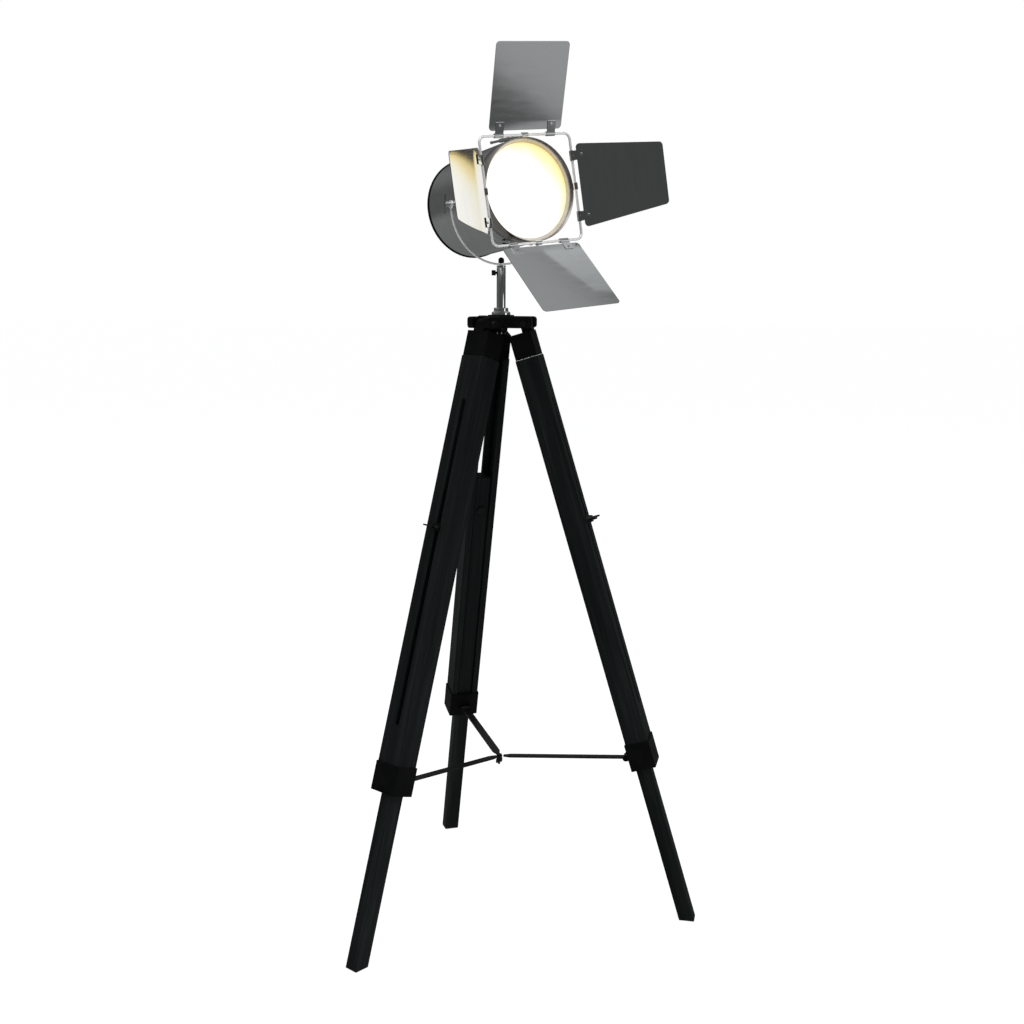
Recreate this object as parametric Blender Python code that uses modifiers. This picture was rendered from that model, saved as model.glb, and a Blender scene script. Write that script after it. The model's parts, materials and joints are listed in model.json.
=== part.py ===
"""Tripod floor lamp with a drum spotlight head and four barn doors.

Metres, +Z up, the lamp's front is -Y. The floor is Z = 0 and the tripod's axis is vertical.
Each leg is drawn in its own frame: origin on its hinge, +X out of the leg's outer face,
+Y along the hinge, +Z up the leg. The head is drawn in a frame whose +X is the tilt axis,
-Y is the way the light points and +Z is up.
"""

import math

import bmesh
import bpy
from mathutils import Matrix, Vector

MM = 0.001
GAP = 0.3 * MM
WELD = 0.01 * MM
OVER = 10 * MM  # how far a cutter runs past what it cuts

# tripod
AXIS = Vector((-47 * MM, -34 * MM, 0))
LEG_AZIMUTHS = {"front": 227.4, "right": 347.4, "back": 107.4}
SPLAY = math.radians(16.8)
HINGE_RADIUS = 41 * MM
HINGE_HEIGHT = 979 * MM
HINGE_BOLT_RADIUS = 3 * MM
HINGE_HEAD_RADIUS = 6 * MM
HINGE_HEAD_TIP_RADIUS = 4 * MM
HINGE_HEAD_HEIGHT = 3.5 * MM
HINGE_NUT_RADIUS = 5.5 * MM
HINGE_NUT_HEIGHT = 4 * MM
HINGE_THREAD = 2 * MM

# upper leg: a U channel of wood, open on its inner side
CHANNEL_WIDTH = 48 * MM
CHANNEL_DEPTH = 37.5 * MM
CHANNEL_OUTER_X = 8.5 * MM
CHANNEL_INNER_X = CHANNEL_OUTER_X - CHANNEL_DEPTH
CHANNEL_WALL = 10.5 * MM
CHANNEL_WEB = 9.5 * MM
CHANNEL_TOP = 53 * MM
CHANNEL_BOTTOM = 741 * MM
CHANNEL_ROUND = 1.2 * MM
SLOT_WIDTH = 8 * MM
SLOT_TOP = 122 * MM
SLOT_BOTTOM = 641 * MM

# fitting on the channel's top end
CAP_INSET = 1.1 * MM
CAP_TOP = 12.7 * MM
CAP_ROUND = 1.5 * MM
TONGUE_RADIUS = 8.2 * MM
TONGUE_CLEARANCE = 0.5 * MM
TONGUE_ROOT = 3 * MM
SPIGOT_CLEARANCE = 0.5 * MM
SPIGOT_LENGTH = 13 * MM
SPIGOT_ROOT = 2 * MM

# lower leg: a square post that slides in the channel
POST_WIDTH = 25 * MM
POST_DEPTH = 24 * MM
POST_OUTER_X = -1.7 * MM
POST_INNER_X = POST_OUTER_X - POST_DEPTH
POST_TOP = 267.5 * MM
POST_ROUND = 1 * MM

# bolt through the post and the slot, and its wing nut
CLAMP_DROP = 328 * MM
CLAMP_RADIUS = 3 * MM
CLAMP_THREAD = 15 * MM
CLAMP_HEAD_RADIUS = 7 * MM
CLAMP_HEAD_HEIGHT = 3 * MM
WING_NUT_HEIGHT = 9 * MM
WING_NUT_TIP_RADIUS = 5 * MM
WING_THICKNESS = 2.4 * MM
WING_OUTLINE_MM = [(3.2, 3), (10, 8), (14.5, 14), (14, 18), (11, 18.5), (7.5, 14), (3.2, 9)]

# collar at the channel's lower end
COLLAR_TOP = 701 * MM
COLLAR_BOTTOM = 746 * MM
COLLAR_WALL = 1.7 * MM
COLLAR_ROUND = 1.5 * MM
COLLAR_CLEARANCE = 0.4 * MM
LUG_DROP = 727 * MM
LUG_X = -38 * MM
LUG_RADIUS = 5 * MM
LUG_THICKNESS = 2 * MM
LUG_ROOT = 0.8 * MM
LUG_PIN_RADIUS = 2 * MM
LUG_PIN_END = 1 * MM

# flat straps of the spreader and the screw at its middle
STRAP_WIDTH = 13 * MM
STRAP_THICKNESS = 2.5 * MM
STRAP_TIP_RADIUS = 7.2 * MM
STRAP_TIP_HALF = 2.8 * MM
STRAP_TAPER = 12 * MM
STRAP_START = 3 * MM
STRAP_ROLL_RADIUS = 4.3 * MM
SPREADER_HEIGHT = 256.5 * MM
CENTRE_STRAP = "front"
CENTRE_NECK_HALF = 2 * MM
CENTRE_EYE_RADIUS = 5 * MM
CENTRE_SCREW_RADIUS = 2 * MM
CENTRE_SCREW_LENGTH = 16 * MM
CENTRE_HEAD_RADIUS = 4 * MM
CENTRE_HEAD_HEIGHT = 1.6 * MM
CENTRE_NUT_RADIUS = 4.6 * MM
CENTRE_NUT_HEIGHT = 6 * MM
CENTRE_WING_HALF = 7 * MM
CENTRE_WING_DROP = 4 * MM

# hub casting
HUB_TOP = 990 * MM
HUB_BOTTOM = 972 * MM
HUB_ARM_START = 2 * MM
HUB_ARM_WIDTH = 46 * MM
HUB_ARM_REACH = 54 * MM
HUB_ARM_ROUND = 4 * MM
HUB_SLOT_WIDTH = 21.6 * MM
HUB_SLOT_START = 29 * MM
BOSS_RADIUS = 21 * MM
BOSS_TOP = 992 * MM

# stem, its flange and nut
STEM_RADIUS = 7.2 * MM
STEM_WALL = 1.2 * MM
STEM_TOP = 1066 * MM
STEM_BOTTOM = 962 * MM
FLANGE_RADIUS = 15 * MM
FLANGE_SHOULDER_RADIUS = 11.5 * MM
FLANGE_HEIGHT = 11 * MM
FLANGE_STEP = 4.5 * MM
STEM_NUT_RADIUS = 12 * MM
STEM_NUT_HEIGHT = 7 * MM

# thumbscrew that locks the pan
THUMBSCREW_HEIGHT = 1058 * MM
THUMBSCREW_RADIUS = 2 * MM
THUMB_HEAD_RADIUS = 4.2 * MM
THUMB_HEAD_HEIGHT = 6.5 * MM
THUMB_HEAD_STANDOFF = 1.5 * MM

# swivel post, cap nut and wire yoke
PAN = math.radians(30.8)
TILT = math.radians(6.7)
TILT_HEIGHT = 1161.4 * MM
SWIVEL_BOTTOM = 1030 * MM
YOKE_RADIUS = 90.2 * MM
YOKE_ROD = 1.6 * MM
YOKE_STEP_DEG = 9
EYE_RADIUS = 6 * MM
EYE_THICKNESS = 3.4 * MM
EYE_BORE_RADIUS = 2.4 * MM
PIVOT_BORE_RADIUS = 3 * MM
CAP_SCREW_RADIUS = 2 * MM
CAP_SCREW_LENGTH = 10 * MM
CAP_NUT_RADIUS = 4.6 * MM
CAP_NUT_SIDE = 5.5 * MM
CAP_NUT_HEIGHT = 9 * MM
CAP_NUT_TIP_RADIUS = 2 * MM

# T-handled tilt screws: places along the tilt axis, from the middle outwards
TILT_SCREW_RADIUS = 2.6 * MM
TILT_SCREW_START = 79 * MM
TILT_NECK_START = 92 * MM
TILT_NECK_END = 100 * MM
TILT_NECK_RADIUS = 4 * MM
TILT_BAR_AT = 101 * MM
TILT_BAR_HALF = 14 * MM
TILT_BAR_RADIUS = 2 * MM

# drum: distances along its axis are from the tilt axis, forwards positive
DRUM_RISE = 11 * MM
DRUM_RADIUS = 78.4 * MM
DRUM_WALL = 1.2 * MM
DRUM_REAR = -96.5 * MM
DRUM_FRONT = 60 * MM
PIVOT_BOSS_RADIUS = 6 * MM
PIVOT_BOSS_END = 87.5 * MM
PIVOT_BOSS_BORE_RADIUS = 2.9 * MM
BEZEL_FRONT = 88.7 * MM
FUNNEL_RADIUS = 72 * MM
FUNNEL_DEPTH = 11 * MM
FUNNEL_BACK_DEPTH = 4.5 * MM
BEZEL_WALL = 1.5 * MM
BEZEL_ROUND = 1 * MM
GLASS_RADIUS = 76.2 * MM
GLASS_FRONT = 74.4 * MM
GLASS_THICKNESS = 3 * MM
GLASS_DOME = 1.5 * MM

# rear cover with its vents and the cord's gland
COVER_RIM_RADIUS = 80.1 * MM
COVER_REAR = -99.3 * MM
COVER_RIM_DEPTH = 2 * MM
COVER_ROUND = 1 * MM
COVER_HOLE_RADIUS = 8 * MM
VENT_COUNT = 6
VENT_START = 30 * MM
VENT_END = 58 * MM
VENT_HALF = 2.5 * MM
GLAND_BORE_RADIUS = 4 * MM
GLAND_THREAD_RADIUS = 7.6 * MM
GLAND_NUT_RADIUS = 11 * MM
GLAND_NUT_HEIGHT = 4 * MM
GLAND_NECK_RADIUS = 7 * MM
GLAND_TIP_RADIUS = 6 * MM
GLAND_LENGTH = 13 * MM

# lamp holder and bulb
HOLDER_RADIUS = 19.5 * MM
HOLDER_FOOT_RADIUS = 17 * MM
HOLDER_BORE_RADIUS = 14.2 * MM
HOLDER_LENGTH = 42 * MM
HOLDER_FLOOR = 8 * MM
HOLDER_TAPER = 12 * MM
BULB_RADIUS = 30 * MM
BULB_CAP_RADIUS = 13.4 * MM
BULB_CAP_LENGTH = 37 * MM
BULB_CONTACT_RADIUS = 5 * MM
BULB_CONTACT_RISE = 3 * MM
BULB_CENTRE = 72 * MM
BULB_ANGLES_DEG = range(20, 141, 20)

# square rod frame and the spring clips that hold it to the drum
FRAME_HALF = 80.6 * MM
FRAME_ROD = 2 * MM
FRAME_FORWARD = 91.3 * MM
FRAME_CORNER = 10 * MM
FRAME_CORNER_STEPS = 4
FRAME_ROLL = math.radians(5.2)
ROLLED_EYE_RADIUS = 3.5 * MM
ROLLED_TAB_START = 2.9 * MM
ROLLED_TAB_INSET = 0.3 * MM
FRAME_CLIP_HALF = 5 * MM
FRAME_CLIP_STANDOFF = 0.5 * MM
FRAME_CLIP_THICKNESS = 1.2 * MM
FRAME_CLIP_OVERLAP = 4 * MM
FRAME_CLIP_SCREW_AT = 6 * MM
PULL_SIDE = "top"
PULL_STANDOFF = 2.1 * MM
PULL_FRONT = -16 * MM
PULL_LEAN = math.radians(5)
PULL_LENGTH = 84.4 * MM
PULL_ROD = 2 * MM
PULL_KNOB_RADIUS = 2.5 * MM
PULL_KNOB_LENGTH = 4 * MM
PULL_SLEEVE_RADIUS = 3.2 * MM
PULL_SLEEVE = (21 * MM, 56 * MM)
CLIP_SCREW_RADIUS = 2.6 * MM
CLIP_SCREW_TIP_RADIUS = 1.6 * MM
CLIP_SCREW_HEIGHT = 1.6 * MM

# barn doors: openings are measured from the frame's plane, towards the front
DOOR_GAP = 7.5 * MM
DOOR_THICKNESS = 1 * MM
DOOR_CORNER = 6 * MM
CLIP_OFFSET = 46 * MM
CLIP_WIDTH = 15 * MM
CLIP_REACH = 20 * MM
CLIP_THICKNESS = 1 * MM
CLIP_SCREW_INSET = 5 * MM
DOORS = {  # side: turn round the frame, opening, hinge width, tip width, length
    "top": (0, 25.0, 128, 128, 128),
    "right": (90, 39.4, 128, 93, 132),
    "bottom": (180, 42.2, 136.8, 136.8, 137.3),
    "left": (270, 40.7, 128, 93, 132),
}

# colour, roughness, metallic
MATERIALS = {
    "stained_wood": ((0.018, 0.020, 0.022), 0.55, 0.0),
    "black_paint": ((0.010, 0.010, 0.011), 0.45, 0.0),
    "chrome": ((0.80, 0.80, 0.80), 0.08, 1.0),
    "polished_door": ((0.62, 0.63, 0.64), 0.12, 1.0),
    "black_steel": ((0.02, 0.02, 0.02), 0.40, 0.8),
    "frosted_glass": ((1.0, 0.93, 0.80), 0.50, 0.0),
    "porcelain": ((0.85, 0.84, 0.80), 0.30, 0.0),
    "bulb_glass": ((1.0, 0.95, 0.85), 0.20, 0.0),
    "black_plastic": ((0.015, 0.015, 0.015), 0.50, 0.0),
}


# ---------------------------------------------------------------- scene and helpers
def clear_scene():
    for obj in list(bpy.context.scene.objects):
        bpy.data.objects.remove(obj, do_unlink=True)


def new_collection(name):
    collection = bpy.data.collections.new(name)
    bpy.context.scene.collection.children.link(collection)
    return collection


def make_materials():
    made = {}
    for name, (colour, roughness, metallic) in MATERIALS.items():
        material = bpy.data.materials.new(name)
        material.use_nodes = True
        shader = material.node_tree.nodes["Principled BSDF"]
        shader.inputs["Base Color"].default_value = (*colour, 1.0)
        shader.inputs["Roughness"].default_value = roughness
        shader.inputs["Metallic"].default_value = metallic
        made[name] = material
    return made


def empty(name, parent=None, matrix=None):
    obj = bpy.data.objects.new(name, None)
    PARTS.objects.link(obj)
    obj.parent = parent
    obj.matrix_local = matrix or Matrix()
    return obj


def place(name, mesh, material, parent, matrix=None):
    obj = bpy.data.objects.new(name, mesh)
    PARTS.objects.link(obj)
    obj.parent = parent
    obj.matrix_local = matrix or Matrix()
    if not mesh.materials:
        mesh.materials.append(LOOKS[material])
    return obj


def shade(mesh, angle=35):
    mesh.shade_smooth()
    mesh.set_sharp_from_angle(angle=math.radians(angle))


def mesh_of(bm, name, smooth=True):
    bmesh.ops.recalc_face_normals(bm, faces=bm.faces)
    mesh = bpy.data.meshes.new(name)
    bm.to_mesh(mesh)
    bm.free()
    if smooth:
        shade(mesh)
    return mesh


def box(low, high):
    """A box between two corners, as a bmesh."""
    bm = bmesh.new()
    low, high = Vector(low), Vector(high)
    bmesh.ops.create_cube(bm, size=1)
    bmesh.ops.scale(bm, vec=high - low, verts=bm.verts)
    bmesh.ops.translate(bm, vec=(low + high) / 2, verts=bm.verts)
    return bm


AXES = {
    "X": Matrix.Rotation(math.pi / 2, 4, "Y"),
    "Y": Matrix.Rotation(-math.pi / 2, 4, "X"),
    "Z": Matrix(),
}


def rod(radius, start, end, axis="Z", at=(0, 0, 0), segments=16, tip=None):
    """A cylinder or cone along an axis, from start to end, as a bmesh."""
    bm = bmesh.new()
    bmesh.ops.create_cone(
        bm,
        cap_ends=True,
        segments=segments,
        radius1=radius,
        radius2=radius if tip is None else tip,
        depth=end - start,
    )
    bmesh.ops.translate(bm, vec=(0, 0, (start + end) / 2), verts=bm.verts)
    bmesh.ops.transform(bm, matrix=Matrix.Translation(at) @ AXES[axis], verts=bm.verts)
    return bm


def combine(obj, shapes, operation):
    """Joins shapes to an object, or cuts them out of it, one Boolean for each."""
    for shape in shapes:
        tool = bpy.data.objects.new(obj.name + "_tool", mesh_of(shape, "tool"))
        TOOLS.objects.link(tool)
        tool.parent = obj
        tool.hide_render = True
        tool.display_type = "WIRE"
        modifier = obj.modifiers.new(operation.lower(), "BOOLEAN")
        modifier.operation = operation
        modifier.object = tool


def join(obj, *shapes):
    combine(obj, shapes, "UNION")


def cut(obj, *shapes):
    combine(obj, shapes, "DIFFERENCE")


def turned(name, profile, material, parent, matrix=None, steps=48):
    """A profile of (radius, height) pairs turned about Z: a loop, or a line from axis to axis."""
    pairs = list(zip(profile, profile[1:] + profile[:1]))
    area = sum(r1 * h2 - r2 * h1 for (r1, h1), (r2, h2) in pairs)
    points = profile if area < 0 else profile[::-1]
    edges = [(i, i + 1) for i in range(len(points) - 1)]
    if points[0][0] > 0:
        edges.append((len(points) - 1, 0))
    mesh = bpy.data.meshes.new(name)
    mesh.from_pydata([(r, 0, h) for r, h in points], edges, [])
    obj = place(name, mesh, material, parent, matrix)
    screw = obj.modifiers.new("screw", "SCREW")
    screw.steps = steps
    screw.render_steps = steps
    screw.use_merge_vertices = True
    screw.merge_threshold = WELD
    screw.use_smooth_shade = True
    return obj


def wire_mesh(name, points, radius, cyclic, resolution=2):
    """A round rod along a poly line, turned into a closed mesh."""
    curve = bpy.data.curves.new(name, "CURVE")
    curve.dimensions = "3D"
    curve.bevel_depth = radius
    curve.bevel_resolution = resolution
    curve.use_fill_caps = not cyclic
    spline = curve.splines.new("POLY")
    spline.points.add(len(points) - 1)
    for point, co in zip(spline.points, points):
        point.co = (*co, 1.0)
    spline.use_cyclic_u = cyclic
    obj = bpy.data.objects.new(name, curve)
    PARTS.objects.link(obj)
    depsgraph = bpy.context.evaluated_depsgraph_get()
    mesh = bpy.data.meshes.new_from_object(obj.evaluated_get(depsgraph))
    bpy.data.objects.remove(obj)
    bm = bmesh.new()
    bm.from_mesh(mesh)
    bmesh.ops.remove_doubles(bm, verts=bm.verts, dist=WELD)
    bpy.data.meshes.remove(mesh)
    return mesh_of(bm, name)


def arc(centre, radius, start, end, steps):
    """Points of an arc in a plane, angles in degrees."""
    angles = [math.radians(start + (end - start) * i / steps) for i in range(steps + 1)]
    return [(centre[0] + radius * math.cos(a), centre[1] + radius * math.sin(a)) for a in angles]


def plate(outline, thickness, name):
    """A flat outline in XY, extruded half its thickness each way along Z."""
    bm = bmesh.new()
    corners = [bm.verts.new((x, y, -thickness / 2)) for x, y in outline]
    face = bm.faces.new(corners)
    grown = bmesh.ops.extrude_face_region(bm, geom=[face])
    raised = [v for v in grown["geom"] if isinstance(v, bmesh.types.BMVert)]
    bmesh.ops.translate(bm, vec=(0, 0, thickness), verts=raised)
    return mesh_of(bm, name)


def lengthwise(bm, shortest):
    """Edges that run up the shape's own Z by more than the shortest length given."""
    return [e for e in bm.edges if abs(e.verts[0].co.z - e.verts[1].co.z) > shortest]


def soften(bm, edges, width, segments=2):
    bmesh.ops.bevel(bm, geom=edges, offset=width, segments=segments, affect="EDGES", profile=0.5)


def outwards(sign, near, far):
    """A span between two distances on one side of the middle, lowest end first."""
    return sorted((sign * near, sign * far))


def rounded(corners, radius, steps=3):
    """A convex outline, anticlockwise, with each corner rounded."""
    out = []
    count = len(corners)
    for i, corner in enumerate(corners):
        here = Vector(corner)
        back = (Vector(corners[i - 1]) - here).normalized()
        on = (Vector(corners[(i + 1) % count]) - here).normalized()
        half = back.angle(on) / 2
        centre = here + (back + on).normalized() * radius / math.sin(half)
        first = here + back * radius / math.tan(half) - centre
        last = here + on * radius / math.tan(half) - centre
        turn = first.angle(last)
        for k in range(steps + 1):
            spin = Matrix.Rotation(turn * k / steps, 2)
            out.append(tuple(centre + spin @ first))
    return out


# ---------------------------------------------------------------- hub
def build_hub(root):
    low, high = HUB_BOTTOM - OVER, BOSS_TOP + OVER
    hub = place("hub_casting", mesh_of(rod(BOSS_RADIUS, HUB_BOTTOM, BOSS_TOP, segments=24), "hub"),
                "black_paint", root)
    holes = [rod(STEM_RADIUS + GAP, low, high, segments=24)]
    arms = []
    half = HUB_ARM_WIDTH / 2
    slot_half = HUB_SLOT_WIDTH / 2
    for azimuth in LEG_AZIMUTHS.values():
        turn = Matrix.Rotation(math.radians(azimuth), 4, "Z")
        arm = box((HUB_ARM_START, -half, HUB_BOTTOM), (HUB_ARM_REACH, half, HUB_TOP))
        end = [e for e in arm.edges if all(v.co.x > HUB_ARM_REACH - MM for v in e.verts)]
        soften(arm, [e for e in end if e not in lengthwise(arm, MM)], HUB_ARM_ROUND, 3)
        slot = box((HUB_SLOT_START, -slot_half, low), (HUB_ARM_REACH + OVER, slot_half, high))
        bore = rod(HINGE_BOLT_RADIUS + GAP, -half - OVER, half + OVER, "Y", (HINGE_RADIUS, 0, HINGE_HEIGHT))
        for shape in (arm, slot, bore):
            bmesh.ops.transform(shape, matrix=turn, verts=shape.verts)
        arms.append(arm)
        holes += [slot, bore]
    join(hub, *arms)
    cut(hub, *holes)


# ---------------------------------------------------------------- legs
def leg_frame(root, name, azimuth):
    turn = math.radians(azimuth)
    hinge = (HINGE_RADIUS * math.cos(turn), HINGE_RADIUS * math.sin(turn), HINGE_HEIGHT)
    spin = Matrix.Rotation(turn, 4, "Z") @ Matrix.Rotation(-SPLAY, 4, "Y")
    return empty("leg_" + name, root, Matrix.Translation(hinge) @ spin)


def build_hinge_bolt(leg, name):
    half = HUB_ARM_WIDTH / 2
    shank = rod(HINGE_BOLT_RADIUS, -half - HINGE_THREAD, half + HINGE_THREAD, "Y")
    bolt = place(name + "_hinge_bolt", mesh_of(shank, "hinge_bolt"), "black_steel", leg)
    head = rod(HINGE_HEAD_RADIUS, half + GAP, half + HINGE_HEAD_HEIGHT, "Y", tip=HINGE_HEAD_TIP_RADIUS)
    nut = rod(HINGE_NUT_RADIUS, -half - HINGE_NUT_HEIGHT, -half - GAP, "Y", segments=6)
    join(bolt, head, nut)


def build_cap(leg, name):
    """Fitting on the channel's top end: a block, a spigot inside the wood and a hinge tongue."""
    side = CHANNEL_WIDTH / 2 - CAP_INSET
    inner = CHANNEL_INNER_X + CAP_INSET
    foot = -CHANNEL_TOP + GAP
    block = box((inner, -side, foot), (CHANNEL_OUTER_X - CAP_INSET, side, -CAP_TOP))
    soften(block, block.edges[:], CAP_ROUND)
    cap = place(name + "_cap", mesh_of(block, "cap"), "black_plastic", leg)
    tongue_half = HUB_SLOT_WIDTH / 2 - TONGUE_CLEARANCE
    tongue = box((-TONGUE_RADIUS, -tongue_half, -CAP_TOP - TONGUE_ROOT), (TONGUE_RADIUS, tongue_half, 0))
    knuckle = rod(TONGUE_RADIUS, -tongue_half, tongue_half, "Y", segments=24)
    spigot_half = CHANNEL_WIDTH / 2 - CHANNEL_WALL - SPIGOT_CLEARANCE
    spigot_outer = CHANNEL_OUTER_X - CHANNEL_WEB - SPIGOT_CLEARANCE
    spigot = box((inner + MM, -spigot_half, foot - SPIGOT_LENGTH),
                 (spigot_outer, spigot_half, foot + SPIGOT_ROOT))
    join(cap, tongue, knuckle, spigot)
    cut(cap, rod(HINGE_BOLT_RADIUS + GAP, -side - OVER, side + OVER, "Y"))


def build_channel(leg, name):
    side = CHANNEL_WIDTH / 2
    block = box((CHANNEL_INNER_X, -side, -CHANNEL_BOTTOM), (CHANNEL_OUTER_X, side, -CHANNEL_TOP))
    soften(block, lengthwise(block, OVER), CHANNEL_ROUND)
    channel = place(name + "_channel", mesh_of(block, "channel"), "stained_wood", leg)
    groove_half = side - CHANNEL_WALL
    web = CHANNEL_OUTER_X - CHANNEL_WEB
    groove = box((CHANNEL_INNER_X - OVER, -groove_half, -CHANNEL_BOTTOM - OVER),
                 (web, groove_half, -CHANNEL_TOP + OVER))
    half = SLOT_WIDTH / 2
    slot = box((web - OVER, -half, -SLOT_BOTTOM), (CHANNEL_OUTER_X + OVER, half, -SLOT_TOP))
    corners = [e for e in slot.edges if abs(e.verts[0].co.x - e.verts[1].co.x) > OVER]
    soften(slot, corners, half - WELD * 8, 3)
    cut(channel, groove, slot)


def build_post(slide, name):
    """The square lower leg. Its foot is sawn level, so it stands flat on the floor."""
    half = POST_WIDTH / 2
    block = box((POST_INNER_X, -half, -HINGE_HEIGHT), (POST_OUTER_X, half, -POST_TOP))
    for vert in block.verts:
        if vert.co.z < -POST_TOP - OVER:
            vert.co.z = -(HINGE_HEIGHT + vert.co.x * math.sin(SPLAY)) / math.cos(SPLAY)
    soften(block, lengthwise(block, CHANNEL_WIDTH), POST_ROUND, 1)
    post = place(name + "_post", mesh_of(block, "post", smooth=False), "stained_wood", slide)
    cut(post, rod(CLAMP_RADIUS + GAP, POST_INNER_X - OVER, POST_OUTER_X + OVER, "X", (0, 0, -CLAMP_DROP)))


def build_clamp(slide, name):
    """Bolt through the post and the channel's slot, and the wing nut outside."""
    at = (0, 0, -CLAMP_DROP)
    shank = rod(CLAMP_RADIUS, POST_INNER_X - MM, CHANNEL_OUTER_X + CLAMP_THREAD, "X", at)
    bolt = place(name + "_clamp_bolt", mesh_of(shank, "clamp_bolt"), "black_steel", slide)
    join(bolt, rod(CLAMP_HEAD_RADIUS, POST_INNER_X - CLAMP_HEAD_HEIGHT, POST_INNER_X - GAP, "X", at))
    turn = empty(name + "_wing_turn", slide, Matrix.Translation(at))
    seat = CHANNEL_OUTER_X + GAP
    barrel = rod(CLAMP_HEAD_RADIUS, seat, seat + WING_NUT_HEIGHT, "X", tip=WING_NUT_TIP_RADIUS)
    nut = place(name + "_wing_nut", mesh_of(barrel, "wing_nut"), "black_steel", turn)
    ears = []
    for side in (1, -1):
        bm = bmesh.new()
        bm.from_mesh(plate([(x * MM, y * MM) for x, y in WING_OUTLINE_MM], WING_THICKNESS, "ear"))
        swap = Matrix(((0, 1, 0, seat), (side, 0, 0, 0), (0, 0, 1, 0), (0, 0, 0, 1)))
        bmesh.ops.transform(bm, matrix=swap, verts=bm.verts)
        bmesh.ops.recalc_face_normals(bm, faces=bm.faces)
        ears.append(bm)
    join(nut, *ears)
    cut(nut, rod(CLAMP_RADIUS + GAP, 0, seat + WING_NUT_HEIGHT + OVER, "X"))


def build_collar(leg, name):
    """Sleeve round the channel's lower end, with a lip under it and two ears for the strap."""
    side = CHANNEL_WIDTH / 2 + GAP + COLLAR_WALL
    inner = CHANNEL_INNER_X - GAP - COLLAR_WALL
    outer = CHANNEL_OUTER_X + GAP + COLLAR_WALL
    block = box((inner, -side, -COLLAR_BOTTOM), (outer, side, -COLLAR_TOP))
    soften(block, lengthwise(block, OVER), COLLAR_ROUND)
    collar = place(name + "_collar", mesh_of(block, "collar"), "black_plastic", leg)
    inside = box((inner + COLLAR_WALL, -side + COLLAR_WALL, -CHANNEL_BOTTOM - GAP),
                 (outer - COLLAR_WALL, side - COLLAR_WALL, -COLLAR_TOP + OVER))
    post_half = POST_WIDTH / 2 + COLLAR_CLEARANCE
    window = box((POST_INNER_X - COLLAR_CLEARANCE, -post_half, -COLLAR_BOTTOM - OVER),
                 (POST_OUTER_X + COLLAR_CLEARANCE, post_half, -COLLAR_TOP - OVER))
    ear_gap = STRAP_WIDTH / 2 + COLLAR_CLEARANCE
    at = (LUG_X, 0, -LUG_DROP)
    ears = []
    for sign in (1, -1):
        near, far = outwards(sign, ear_gap, ear_gap + LUG_THICKNESS)
        ears.append(box((LUG_X, near, -LUG_DROP - LUG_RADIUS),
                        (inner + LUG_ROOT, far, -LUG_DROP + LUG_RADIUS)))
        ears.append(rod(LUG_RADIUS, near, far, "Y", at))
    pin = rod(LUG_PIN_RADIUS, -ear_gap - LUG_PIN_END, ear_gap + LUG_PIN_END, "Y", at)
    join(collar, *ears, pin)
    cut(collar, inside, window)


def lug_point():
    """The strap's pivot, as a distance from the tripod's axis and a height."""
    x = HINGE_RADIUS + LUG_X * math.cos(SPLAY) + LUG_DROP * math.sin(SPLAY)
    z = HINGE_HEIGHT + LUG_X * math.sin(SPLAY) - LUG_DROP * math.cos(SPLAY)
    return x, z


def build_strap(leg, name):
    """Flat strap from the collar's ears to the middle, drawn with +X from its pivot inwards.

    The front strap ends in an eye round the centre screw; the others stop short of it.
    """
    reach, height = lug_point()
    drop = math.atan2(height - SPREADER_HEIGHT, reach)
    middle = reach / math.cos(drop)
    # the leg's frame turned back to level, then the strap's own slope
    level = Matrix.Rotation(SPLAY, 4, "Y")
    inwards = Matrix.Rotation(math.pi, 4, "Z") @ Matrix.Rotation(drop, 4, "Y")
    frame = empty(name + "_strap_turn", leg, Matrix.Translation((LUG_X, 0, -LUG_DROP)) @ level @ inwards)
    half = STRAP_WIDTH / 2
    end = middle - STRAP_TIP_RADIUS
    shoulder = end - STRAP_TAPER
    outline = [(STRAP_START, -half), (shoulder, -half), (end, -STRAP_TIP_HALF),
               (end, STRAP_TIP_HALF), (shoulder, half), (STRAP_START, half)]
    strap = place(name + "_strap", plate(outline, STRAP_THICKNESS, "strap"), "black_steel", frame)
    join(strap, rod(STRAP_ROLL_RADIUS, -half, half, "Y"))
    cut(strap, rod(LUG_PIN_RADIUS + GAP, -half - OVER, half + OVER, "Y"))
    if name == CENTRE_STRAP:
        thick = STRAP_THICKNESS / 2
        neck = box((end - MM, -CENTRE_NECK_HALF, -thick), (middle, CENTRE_NECK_HALF, thick))
        join(strap, neck, rod(CENTRE_EYE_RADIUS, -thick, thick, at=(middle, 0, 0)))
        cut(strap, rod(CENTRE_SCREW_RADIUS + GAP, -thick - OVER, thick + OVER, at=(middle, 0, 0)))
        build_spreader_centre(frame, middle)


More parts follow.
